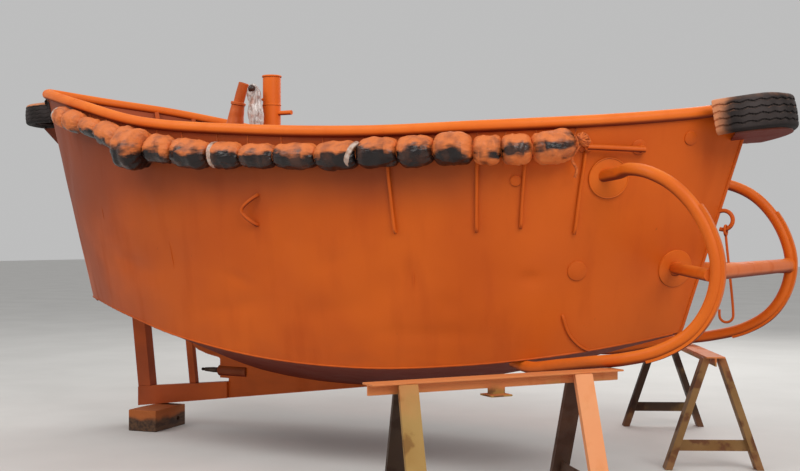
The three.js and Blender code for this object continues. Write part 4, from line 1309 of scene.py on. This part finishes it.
@dataclass
class SternFrame:
    """The deadwood, the sole piece and the posts, with the stern tube and the bare shaft end."""

    shop: Workshop
    height: float = 0.452
    tube_end: float = -1.205
    tube_length: float = 0.262
    tube_radius: float = 0.042
    bore: float = 0.0204
    shaft_radius: float = 0.020

    def tube(self) -> None:
        """The stern tube, with a bevelled mouth."""
        r, bore, length = self.tube_radius, self.bore, self.tube_length
        profile = [(bore, -length), (bore, -0.003), (0.024, 0.0), (r - 0.005, 0.0)]
        profile += [(r, -0.005), (r, -length), (bore, -length)]
        bm = bmesh.new()
        spun(bm, profile, Vector((self.tube_end, 0, self.height)), Vector((-1, 0, 0)), 36)
        # The tube's enamel is dark partly for oil and dirt and partly as painted shade under the deadwood
        oily_and_shaded = Enamel("oily_shaded_enamel", (0.30, 0.06, 0.012), (0.12, 0.03, 0.012), wear=1.0, gloss=0.5)
        self.shop.piece("stern_bearing_tube", bm, oily_and_shaded, Slot.HULL, ["stern_tube"])

    def shaft(self) -> None:
        """The shaft's bare end: a taper, a thread and its blunt tip."""
        r = self.shaft_radius
        profile = [(0.0, 0.0), (r, 0.0), (r, 0.312), (0.0145, 0.39)]
        for turn in range(9):
            profile += [(0.0115, 0.391 + turn * 0.003), (0.0098, 0.3925 + turn * 0.003)]
        profile += [(0.0115, 0.419), (0.008, 0.4199), (0.0, 0.4199)]
        bm = bmesh.new()
        spun(bm, profile, Vector((-0.955, 0, self.height)), Vector((-1, 0, 0)), 32)
        steel = BareMetal("shaft_steel", (0.11, 0.075, 0.055), (0.04, 0.022, 0.016), 0.7, 0.45)
        self.shop.piece("bare_shaft_end", bm, steel, Slot.STEEL, ["propeller_shaft"], body="shaft")

    def build(self) -> None:
        """Makes the tube and the shaft and paints the plates."""
        self.tube()
        self.shaft()
        plates = ["deadwood", "sole_piece", "aft_post", "middle_post"]
        self.shop.dress(plates, Enamel(name="keel_enamel", wear=0.9), 0.003)


@dataclass
class BowPipework:
    """The two push hoops with wear strips, their struts and cross tube, the grab bars, the eye and the hook.

    A place on the side is a station and a share down from the rail.
    """

    lines: HullLines
    shop: Workshop
    plane: float = 0.975
    front: float = 2.848
    middle: float = 1.305
    pipe: float = 0.0365
    leaving: tuple[float, float] = (0.777, 0.234)
    root: tuple[float, float] = (0.786, 0.245)
    strip: tuple[float, float] = (0.31, 0.645)
    pad_radius: float = 0.118
    pad_thickness: float = 0.008
    strut_root: tuple[float, float] = (0.95, 0.69)
    strut_radius: float = 0.035
    cross_x: float = 2.838
    cross_z: float = 1.279
    cross_radius: float = 0.0445
    posts: tuple[tuple[float, float], ...] = ((0.736, 0.103), (0.83, 0.13))
    rod: float = 0.008

    def hoop_path(self, side: int) -> list[Vector]:
        """The hoop's centreline: out of the side, round the front and back under the bow.

        Args:
            side: The side of the boat.

        Returns:
            The line's points.
        """
        start = self.lines.plate(*self.leaving, side)
        upper = [(2.210, 0.700, 1.838), (2.335, 0.868, 1.848), (2.470, 0.955, 1.822)]
        turn = [(2.600, 1.755), (2.712, 1.645), (2.802, 1.490), (self.front, self.middle)]
        turn += [(2.815, 1.115), (2.712, 0.955), (2.540, 0.846)]
        lower = [(2.330, 0.962, 0.788), (2.120, 0.905, 0.756), (1.880, 0.800, 0.717)]
        lower += [(1.660, 0.690, 0.683), (1.500, 0.580, 0.700)]
        first = Vector((upper[0][0], side * upper[0][1], upper[0][2]))
        controls = [start - (first - start) * 0.5, start]
        controls += [Vector((x, side * y, z)) for x, y, z in upper]
        controls += [Vector((x, side * self.plane, z)) for x, z in turn]
        controls += [Vector((x, side * y, z)) for x, y, z in lower]
        return curve_through(controls, 160)

    def hoop(self, side: Side) -> None:
        """One hoop with the disc at its root and the flat strip welded on its outer face.

        Args:
            side: The side of the boat.
        """
        path = self.hoop_path(side.value)
        bm = bmesh.new()
        sweep(bm, round_ring(self.pipe, 24), path)
        first, last = (round(share * (len(path) - 1)) for share in self.strip)
        strip = path[first : last + 1]
        section = [(-0.025, 0.028), (0.025, 0.028), (0.025, 0.0435)]
        section += [(0.022, 0.0455), (-0.022, 0.0455), (-0.025, 0.0435)]
        outer = (strip[1] - strip[0]).cross(ACROSS).normalized()
        sweep(bm, section, strip, outer)
        start, out = self.lines.plate(*self.root, side.value), self.lines.outward(*self.root, side.value)
        disc(bm, start, out, self.pad_radius, self.pad_thickness)
        ring = [start + out * 0.006 + spoke * (self.pad_radius + 0.001) for spoke in self.spokes(out, 48)]
        sweep(bm, round_ring(0.0045, 8), ring, out)
        name = side.name.lower()
        self.shop.piece(f"bow_hoop_{name}", bm, HOOP_COAT, Slot.HULL, [f"push_hoop_{name}"])

    @staticmethod
    def spokes(axis: Vector, count: int) -> list[Vector]:
        """Directions all the way round an axis, the last one the first again."""
        first = axis.cross(UP).normalized()
        return [Matrix.Rotation(2 * math.pi * index / count, 3, axis) @ first for index in range(count + 1)]

    def strut(self, side: Side) -> None:
        """The stay from the stem's side out to the hoop, with its disc.

        Args:
            side: The side of the boat.
        """
        start = self.lines.plate(*self.strut_root, side.value)
        out = self.lines.outward(*self.strut_root, side.value)
        tip = Vector((2.812, side.value * 0.968, 1.260))
        bm = bmesh.new()
        sweep(bm, round_ring(self.strut_radius, 24), evenly([start - out * 0.008, tip], 12))
        disc(bm, start, out, self.pad_radius, self.pad_thickness)
        weld = [(0.033, 0.006), (0.047, 0.007), (0.043, 0.015), (0.033, 0.020), (0.033, 0.006)]
        spun(bm, weld, start, (tip - start).normalized(), 32)
        name = side.name.lower()
        self.shop.piece(f"bow_stay_{name}", bm, HOOP_COAT, Slot.HULL, [f"hoop_strut_{name}"])

    def cross_tube(self) -> None:
        """The tube between the two hoops."""
        ends = [Vector((self.cross_x, y, self.cross_z)) for y in (-0.955, 0.955)]
        weld = [(0.043, 0.0), (0.052, 0.002), (0.049, 0.010), (0.043, 0.014), (0.043, 0.0)]
        bm = bmesh.new()
        sweep(bm, round_ring(self.cross_radius, 32), evenly(ends, 24))
        for side in (-1, 1):
            spun(bm, weld, Vector((self.cross_x, side * 0.934, self.cross_z)), Vector((0, -side, 0)), 32)
        self.shop.piece("bow_cross_tube", bm, HOOP_COAT, Slot.HULL, ["hoop_cross_tube"])

    def grab_bar(self, side: Side) -> None:
        """The short bar on two posts by the bow's rail.

        Args:
            side: The side of the boat.
        """
        ends = [self.lines.spot(at, down, side.value, 0.052) for at, down in self.posts]
        reach = (ends[1] - ends[0]).normalized() * 0.008
        bm = bmesh.new()
        sweep(bm, round_ring(0.0165, 16), evenly([ends[0] - reach, ends[1] + reach], 10))
        for (at, down), end in zip(self.posts, ends):
            sweep(bm, round_ring(0.024, 20), evenly([self.lines.spot(at, down, side.value, -0.006), end], 6))
        name = side.name.lower()
        self.shop.piece(f"grab_bar_{name}", bm, Enamel(), Slot.HULL, [f"bow_bar_{name}"])

    def eye(self) -> None:
        """The bent bar on the stem that the hook hangs from."""
        middle, radius = Vector((2.640, 0, 1.572)), 0.058
        turns = [math.radians(170 - 282 * step / 18) for step in range(19)]
        arc = [middle + Vector((math.cos(turn) * radius, 0, math.sin(turn) * radius)) for turn in turns]
        bm = bmesh.new()
        sweep(bm, round_ring(0.013, 16), curve_through([middle + Vector((-0.118, 0, -0.010)), *arc], 60))
        self.shop.piece("stem_ring", bm, Enamel(), Slot.HULL, ["stem_eye"])

    def hook(self) -> None:
        """The rod with a loop at its head and a turned-up foot."""
        head = Vector((2.655, 0, 1.5084))
        turns = [-math.pi / 2 + 0.25 + step / 16 * (2 * math.pi - 0.5) for step in range(17)]
        loop = [head + Vector((0, math.cos(turn) * 0.030, math.sin(turn) * 0.030)) for turn in turns]
        foot = Vector((2.700, 0, 0.989))
        bend = [foot + Vector((math.cos(turn) * 0.042 - 0.042, 0, -math.sin(turn) * 0.042))
                for turn in (step * math.pi / 8 for step in range(9))]
        bm = bmesh.new()
        sweep(bm, round_ring(self.rod, 14), curve_through(loop, 50), Vector((1, 0, 0)))
        path = [head + Vector((0, 0, -0.026)), foot, *bend[1:], bend[-1] + Vector((0, 0, 0.035))]
        sweep(bm, round_ring(self.rod, 14), curve_through(path, 70), ACROSS)
        self.shop.piece("hanging_hook", bm, Enamel(), Slot.HULL, ["hook_rod"], body="hook")

    def build(self) -> None:
        """Makes the bow's pipework."""
        for side in Side:
            self.hoop(side)
            self.strut(side)
            self.grab_bar(side)
        self.cross_tube()
        self.eye()
        self.hook()


@dataclass
class Tyre:
    """A cut length of tyre, its tread outwards, swept about an upright axis."""

    name: str
    node: str
    lines: HullLines
    middle: Vector
    radius: float
    half_width: float
    start: float
    end: float
    wall: float
    lean: float = 0.0
    grooves: int = 4
    groove_width: float = 0.0048
    groove_depth: float = 0.009

    def profile(self) -> list[Vector]:
        """The outside from one bead to the other, as radius and height pairs."""
        rim = self.radius - self.half_width * 0.95
        shoulder, edge, crown = self.radius - 0.045, self.radius - 0.010, self.radius - 0.002
        corners = [(rim, -0.78), (shoulder, -1.0), (edge, -0.88), (crown, -0.45), (self.radius, 0)]
        corners += [(crown, 0.45), (edge, 0.88), (shoulder, 1.0), (rim, 0.78)]
        return curve_through([Vector((r, 0, high * self.half_width)) for r, high in corners], 97)

    def tread(self, radius: float, height: float, arc: float) -> float:
        """How deep the tread is cut at a height and a distance round it.

        Args:
            radius: The distance from the axis there.
            height: The height from the tyre's middle.
            arc: The distance round the tread.

        Returns:
            The depth of the cut, in metres.
        """
        if radius < self.radius - 0.014:
            return 0.0
        zig = 0.005 * (abs((arc / 0.042) % 2 - 1) * 2 - 1)
        spacing = 2 * 0.78 * self.half_width / self.grooves
        for index in range(self.grooves):
            middle = (index - (self.grooves - 1) / 2) * spacing
            if abs(height - middle - zig) < self.groove_width:
                return self.groove_depth
        return 0.0

    def build(self, shop: Workshop, coat: TyreRubber) -> None:
        """Makes the tyre.

        Args:
            shop: Where the piece is made.
            coat: Its finish.
        """
        outline = self.profile()
        turns, across = 280, len(outline) - 1
        leaning = Matrix.Rotation(-math.radians(self.lean), 3, "Y")
        bm = bmesh.new()
        bmesh.ops.create_grid(bm, x_segments=turns, y_segments=across, size=1.0)
        for vert in bm.verts:
            spot = outline[round((vert.co.y + 1) / 2 * across)]
            angle = math.radians(self.start + (self.end - self.start) * (vert.co.x + 1) / 2)
            radius = spot.x - self.tread(spot.x, spot.z, angle * self.radius)
            slump = 0.004 * noise.noise(Vector((angle * 2.2, spot.z * 8, 3.0)))
            round_axis = Vector((math.cos(angle) * radius, math.sin(angle) * radius, spot.z + slump))
            vert.co = self.middle + leaning @ round_axis
            plating = self.lines.half_breadth(vert.co.x, vert.co.z)
            if plating > 0 and abs(vert.co.y) < plating + self.wall:
                vert.co.y = math.copysign(plating + self.wall, vert.co.y)
        bmesh.ops.recalc_face_normals(bm, faces=bm.faces)
        outside = sum(((face.calc_center_median() - self.middle).xy.dot(face.normal.xy)) for face in bm.faces)
        if outside < 0:
            bmesh.ops.reverse_faces(bm, faces=bm.faces)
        thicken(shop.piece(self.name, bm, coat, Slot.TYRE, [self.node], sharp=35, merged=False), self.wall)


@dataclass(frozen=True)
class Roll:
    """One wrapped roll: its station, drop below the rail, radius and half length.

    top is the share of its height that is sprayed orange from above, and low the share from below.
    """

    at: float
    drop: float
    radius: float
    half: float
    top: float
    low: float = -1.0


@dataclass
class FenderRow:
    """The string of wrapped rolls under each rail, with its ties, its fore knot and its pale bands.

    A roll's drop over side_depth is taken as its share down the side.
    """

    lines: HullLines
    shop: Workshop
    neck: float = 0.032
    rope: float = 0.0065
    tail: float = 0.009
    side_depth: float = 1.5
    rolls: tuple[Roll, ...] = (
        Roll(-0.60, 0.112, 0.072, 0.088, 0.95, 0.3),
        Roll(-0.54, 0.114, 0.078, 0.104, 0.75),
        Roll(-0.47, 0.120, 0.066, 0.096, 0.50),
        Roll(-0.39, 0.126, 0.084, 0.112, 0.55),
        Roll(-0.295, 0.185, 0.138, 0.118, 0.46),
        Roll(-0.22, 0.158, 0.094, 0.106, 0.52),
        Roll(-0.13, 0.174, 0.098, 0.140, 0.34),
        Roll(-0.037, 0.170, 0.084, 0.122, 0.36),
        Roll(0.047, 0.166, 0.078, 0.126, 0.42),
        Roll(0.145, 0.156, 0.080, 0.144, 0.38),
        Roll(0.248, 0.152, 0.090, 0.142, 0.34),
        Roll(0.335, 0.134, 0.091, 0.138, 0.38),
        Roll(0.415, 0.136, 0.092, 0.118, 0.36),
        Roll(0.487, 0.128, 0.098, 0.128, 0.58),
        Roll(0.552, 0.146, 0.088, 0.100, 0.60, 0.15),
        Roll(0.6, 0.148, 0.090, 0.106, 0.42, 0.28),
        Roll(0.665, 0.148, 0.099, 0.134, 0.36, 0.34),
    )
    knot: Roll = Roll(0.718, 0.112, 0.038, 0.056, 1.0)

    def centre(self, roll: Roll, side: int) -> Vector:
        """A roll's middle, most of its own radius out from the plating.

        Args:
            roll: The roll.
            side: The side of the boat.

        Returns:
            The middle.
        """
        rail = self.lines.rail(roll.at, side)
        down = roll.drop / self.side_depth
        out = self.lines.outward(roll.at, down, side)
        reach = roll.radius * 0.9
        y = self.lines.plate(roll.at, down, side).y + out.y * reach
        return Vector((rail.x + out.x * reach, y, rail.z - roll.drop))

    def necks(self, side: int) -> list[Vector]:
        """The pinched places between the rolls, after the string's aft end.

        Args:
            side: The side of the boat.

        Returns:
            The aft end, then each neck up to the one at the knot.
        """
        centres = [self.centre(roll, side) for roll in (*self.rolls, self.knot)]
        halves = [roll.half for roll in (*self.rolls, self.knot)]
        between = []
        for index in range(len(centres) - 1):
            share = halves[index] / (halves[index] + halves[index + 1])
            between.append(centres[index].lerp(centres[index + 1], share))
        first = centres[0] + (centres[0] - centres[1]).normalized() * halves[0]
        return [first, *between]

    def girth(self, roll: Roll, length: float) -> float:
        """A roll's radius at a share of its half length, from -1 to 1."""
        full = max(1 - abs(length) ** 4.2, 0.0) ** 0.55
        return self.neck + (roll.radius - self.neck) * full

    def roll(self, bm: bmesh.types.BMesh, index: int, side: int) -> None:
        """Adds one roll: a soft bag from neck to neck with wound folds, flat against the plating.

        Args:
            bm: The mesh that gets it.
            index: Which roll.
            side: The side of the boat.
        """
        roll, seed = self.rolls[index], index * 3.7 + side
        necks = self.necks(side)
        start, end = necks[index], necks[index + 1]
        middle = self.centre(roll, side)
        slope, bow = (end - start) / 2, (end + start) / 2 - middle
        turn = UP.rotation_difference(slope.normalized()).to_matrix()
        wall = self.lines.outward(roll.at, roll.drop / self.side_depth, side)
        spray = bm.verts.layers.float["spray"]
        for vert in bmesh.ops.create_uvsphere(bm, u_segments=48, v_segments=36, radius=1.0)["verts"]:
            length = vert.co.z
            flat = vert.co.xy.normalized() if vert.co.xy.length > 1e-6 else Vector((0, 0))
            angle = math.atan2(flat.y, flat.x)
            pinch = abs(length) ** 3
            wound = math.sin(length * 9 + angle + noise.noise(Vector((seed, length * 2, flat.x))) * 4)
            lumps = noise.noise(Vector((flat.x * 1.5, flat.y * 1.5, length * 1.5 + seed)))
            fine = noise.noise(Vector((flat.x * 5, flat.y * 5, length * 4 + seed)))
            creases = 1 + 0.022 * wound + 0.11 * lumps + 0.035 * fine
            gather = 0.09 * pinch * math.sin(angle * 13 + seed + 3 * noise.noise(Vector((angle, seed, 0))))
            reach = self.girth(roll, length) * (creases + gather)
            offset = turn @ Vector((flat.x * reach, flat.y * reach, 0))
            height = offset.z / roll.radius * 0.5 + 0.5
            vert[spray] = max(height - (1 - roll.top), roll.low - height) + 0.25 * lumps
            if length * (1 if index % 2 else -1) > 0.5:
                vert[spray] += 0.12
            spine = middle + slope * length + bow * length * length
            depth = offset.dot(-wall)
            limit = roll.radius * 0.84
            vert.co = spine + offset + wall * max(depth - limit, 0.0) * 0.9

    def row(self, side: Side) -> None:
        """All the rolls of one side as one padded piece.

        Args:
            side: The side of the boat.
        """
        bm = bmesh.new()
        bm.verts.layers.float.new("spray")
        for index in range(len(self.rolls)):
            self.roll(bm, index, side.value)
        bmesh.ops.recalc_face_normals(bm, faces=bm.faces)
        name = side.name.lower()
        row, coat = [f"fender_row_{name}"], WrapFilm()
        made = self.shop.piece(f"wrapped_rolls_{name}", bm, coat, Slot.WRAP, row, sharp=80, merged=False)

    def turns(self, bm: bmesh.types.BMesh, middle: Vector, along: Vector, radius: float, count: int) -> None:
        """Winds rope round a neck.

        Args:
            bm: The mesh that gets the rope.
            middle: The neck's centre.
            along: The way that the string runs there.
            radius: The neck's radius.
            count: How many turns there are.
        """
        frame = UP.rotation_difference(along.normalized()).to_matrix()
        path = []
        for step in range(count * 20 + 1):
            angle = step * math.pi / 10
            shift = (step / (count * 20) - 0.5) * count * self.rope * 1.9
            path.append(middle + frame @ Vector((math.cos(angle) * radius, math.sin(angle) * radius, shift)))
        sweep(bm, round_ring(self.rope, 8), path, along.normalized())

    def lashings(self) -> None:
        """Rope turns round each neck with a tie up to the rail, and the fore knot with its tail."""
        bm = bmesh.new()
        for side in (-1, 1):
            necks = self.necks(side)
            for index in range(1, len(necks)):
                along = necks[min(index + 1, len(necks) - 1)] - necks[index - 1]
                self.turns(bm, necks[index], along, self.neck + self.rope * 0.6, 2)
                at = (necks[index].x - self.lines.rail_middle) / self.lines.rail_half_length
                upper = [self.lines.spot(at, 0.02, side, 0.003), self.lines.spot(at, 0.06, side, 0.005)]
                sweep(bm, round_ring(0.004, 8), curve_through([*upper, necks[index]], 10))
            self.tie_knot(bm, side, necks[-1])
        rope = PlainCoat("sprayed_rope", (0.72, 0.170, 0.025), (0.42, 0.085, 0.018), 0.8, 60.0, 0.002)
        self.shop.piece("fender_lashings", bm, rope, Slot.WRAP)

    def tie_knot(self, bm: bmesh.types.BMesh, side: int, last: Vector) -> None:
        """The bunch of rope turns that ties the string to the grab bar's post, and its hanging tail.

        Args:
            bm: The mesh that gets the rope.
            side: The side of the boat.
            last: The string's fore end.
        """
        middle = self.centre(self.knot, side)
        for turn, reach in ((0.2, 0.036), (0.9, 0.040), (1.7, 0.034), (2.5, 0.038)):
            axis = Vector((math.cos(turn), side * 0.35, math.sin(turn)))
            self.turns(bm, middle + axis * 0.012, axis, reach, 2)
        sweep(bm, round_ring(self.rope, 8), curve_through([last, last.lerp(middle, 0.6), middle], 10))
        hanging = [(-0.020, 0.034, -0.050), (-0.055, 0.030, -0.110)]
        hanging += [(-0.030, 0.020, -0.170), (-0.045, 0.012, -0.215)]
        tail = [middle, *(middle + Vector((x, side * y, z)) for x, y, z in hanging)]
        sweep(bm, round_ring(self.tail, 8), curve_through(tail, 24))

    def tape(self) -> None:
        """Pale film bands round three of the rolls."""
        bm = bmesh.new()
        for side in (-1, 1):
            necks = self.necks(side)
            for index, share, slant in ((0, -0.80, 0.2), (7, -0.66, 0.1), (10, 0.74, -0.45)):
                roll = self.rolls[index]
                along = (necks[index + 1] - necks[index]).normalized()
                middle = self.centre(roll, side) + (necks[index + 1] - necks[index]) / 2 * share
                r = self.girth(roll, share) * 1.05
                band = [(r - 0.010, -0.016), (r, -0.015), (r * 1.02, 0.0), (r, 0.015), (r - 0.010, 0.016),
                        (r - 0.010, -0.016)]
                spun(bm, band, middle, along + Vector((0, 0, slant)), 48)
        for vert in bm.verts:
            vert.co += Vector((1, 0, 1)) * 0.004 * noise.noise(vert.co * 22)
        pale = PlainCoat("pale_film", (0.62, 0.50, 0.43), (0.36, 0.20, 0.13), 0.4, 40.0, 0.003)
        self.shop.piece("pale_bands", bm, pale, Slot.FILM)

    def build(self) -> None:
        """Makes both rows."""
        for side in Side:
            self.row(side)
        self.lashings()
        self.tape()


@dataclass
class Stand:
    """The two yard trestles and the timber block, with orange mist where they stood under the spraying."""

    shop: Workshop

    def build(self) -> None:
        """Paints the trestles and the block."""
        beam = TrestlePaint("sprayed_beam_paint", mist_from=0.62, mist_to=0.70)
        self.shop.dress(["near_trestle_beam", "far_trestle_beam"], beam, 0.003)
        near_a = TrestlePaint(
            "near_frame_a_paint", mist_share=0.35, rubbed_share=0.5, far_leg=(-0.6431, 0.7658, -2.4075))
        near_b = TrestlePaint(
            "near_frame_b_paint", ochre=(0.74, 0.30, 0.11), pale=(0.80, 0.40, 0.18), mist=(0.80, 0.30, 0.12),
            mist_from=0.1, mist_to=0.3, rubbed_share=0.2, far_leg=(-0.6431, 0.7658, -2.1128))
        far_a = TrestlePaint(
            "far_frame_a_paint", ochre=(0.20, 0.095, 0.025), pale=(0.27, 0.145, 0.050),
            mist=(0.40, 0.12, 0.04), mist_share=0.5, rubbed_share=0.9)
        far_b = TrestlePaint("far_frame_b_paint", mist_share=0.2, darkened=0.95)
        frames = {"near_trestle_frame_a": near_a, "near_trestle_frame_b": near_b}
        frames |= {"far_trestle_frame_a": far_a, "far_trestle_frame_b": far_b}
        for node, coat in frames.items():
            self.shop.dress([node], coat, 0.003)
        self.shop.dress(["heel_block"], OldTimber(), 0.007)


@dataclass
class Studio:
    """A plain pale floor, soft light and a camera where the photograph was taken."""

    eye: Vector = field(default_factory=lambda: Vector((4.472, -7.174, 1.450)))
    turn: float = 29.0
    tilt: float = 0.215
    lens: float = 54.0

    def camera(self) -> None:
        """Puts the camera at standing eye height off the bow's quarter."""
        data = bpy.data.cameras.new("eye")
        data.lens = self.lens
        data.sensor_width = 36.0
        made = bpy.data.objects.new("eye", data)
        bpy.context.scene.collection.objects.link(made)
        made.location = self.eye
        made.rotation_euler = (math.radians(90 + self.tilt), 0, math.radians(self.turn))
        bpy.context.scene.camera = made

    def floor(self) -> None:
        """A wide pale floor under the trestles."""
        bm = bmesh.new()
        bmesh.ops.create_grid(bm, x_segments=1, y_segments=1, size=60)
        mesh = bpy.data.meshes.new("floor")
        bm.to_mesh(mesh)
        bm.free()
        made = bpy.data.objects.new("floor", mesh)
        bpy.context.scene.collection.objects.link(made)
        coat = PlainCoat("pale_floor", (0.66, 0.65, 0.63), (0.62, 0.61, 0.59), rough=0.9, grain=1.2)
        mesh.materials.append(coat.build())

    def light(self, name: str, place: Vector, aim: Vector, size: float, power: float, colour: Colour) -> None:
        """Adds one soft lamp.

        Args:
            name: Its name.
            place: Where it stands.
            aim: What it points at.
            size: Its width and height.
            power: Its power in watts.
            colour: Its colour.
        """
        data = bpy.data.lights.new(name, "AREA")
        data.size = size
        data.energy = power
        data.color = colour
        made = bpy.data.objects.new(name, data)
        bpy.context.scene.collection.objects.link(made)
        made.location = place
        made.rotation_euler = (aim - place).to_track_quat("-Z", "Y").to_euler()

    def build(self) -> None:
        """Sets up the whole studio."""
        self.camera()
        self.floor()
        middle = Vector((0, 0, 1.3))
        self.light("sky_left", Vector((-4.0, -6.0, 8.5)), middle, 6.0, 360, (1.0, 0.98, 0.96))
        self.light("sky_right", Vector((8.0, -5.5, 7.5)), middle, 6.0, 520, (1.0, 0.98, 0.96))
        self.light("sky_back", Vector((0.0, 8.0, 7.0)), middle, 7.0, 420, (1.0, 0.99, 0.97))
        world = bpy.data.worlds.new("soft_sky")
        world.use_nodes = True
        ground = world.node_tree.nodes["Background"]
        ground.inputs["Color"].default_value = (0.93, 0.93, 0.93, 1)
        ground.inputs["Strength"].default_value = 0.55
        bpy.context.scene.world = world
        bpy.context.scene.view_settings.view_transform = "Standard"


def main() -> None:
    """Builds the boat, its stand and the studio."""
    logging.basicConfig(level=logging.INFO, format="%(name)s: %(message)s")
    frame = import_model()
    shop = Workshop(frame["nodes"])
    lines = HullLines()
    Studio().build()
    Plating(lines, shop).build()
    RailAndDecks(lines, shop).build()
    EngineSpace(shop).build()
    SternFrame(shop).build()
    BowPipework(lines, shop).build()
    shop.dress(["bow_bracket", "stern_bracket"], SHADED_BRACKET_COAT, 0.002)
    bow = Tyre(
        "bow_half_tyre",
        "bow_tyre",
        lines,
        Vector((2.68265, 0, 2.165)),
        radius=0.396,
        half_width=0.105,
        start=-90,
        end=90,
        wall=0.022,
        lean=9.0,
    )
    bow.build(shop, TyreRubber("bow_rubber", mist_from=2.83, mist_to=2.66, crust=0.25, crust_above=2.2))
    stern = Tyre(
        "stern_tyre_piece",
        "stern_tyre",
        lines,
        Vector((-2.650, 0, 2.468)),
        radius=0.430,
        half_width=0.080,
        start=74,
        end=286,
        wall=0.020,
        groove_depth=0.003,
    )
    sprayed = TyreRubber("stern_rubber", mist_from=-2.50, mist_to=-2.38, crust=1.1, crust_above=2.525)
    stern.build(shop, sprayed)
    FenderRow(lines, shop).build()
    Stand(shop).build()


if __name__ == "__main__":
    main()
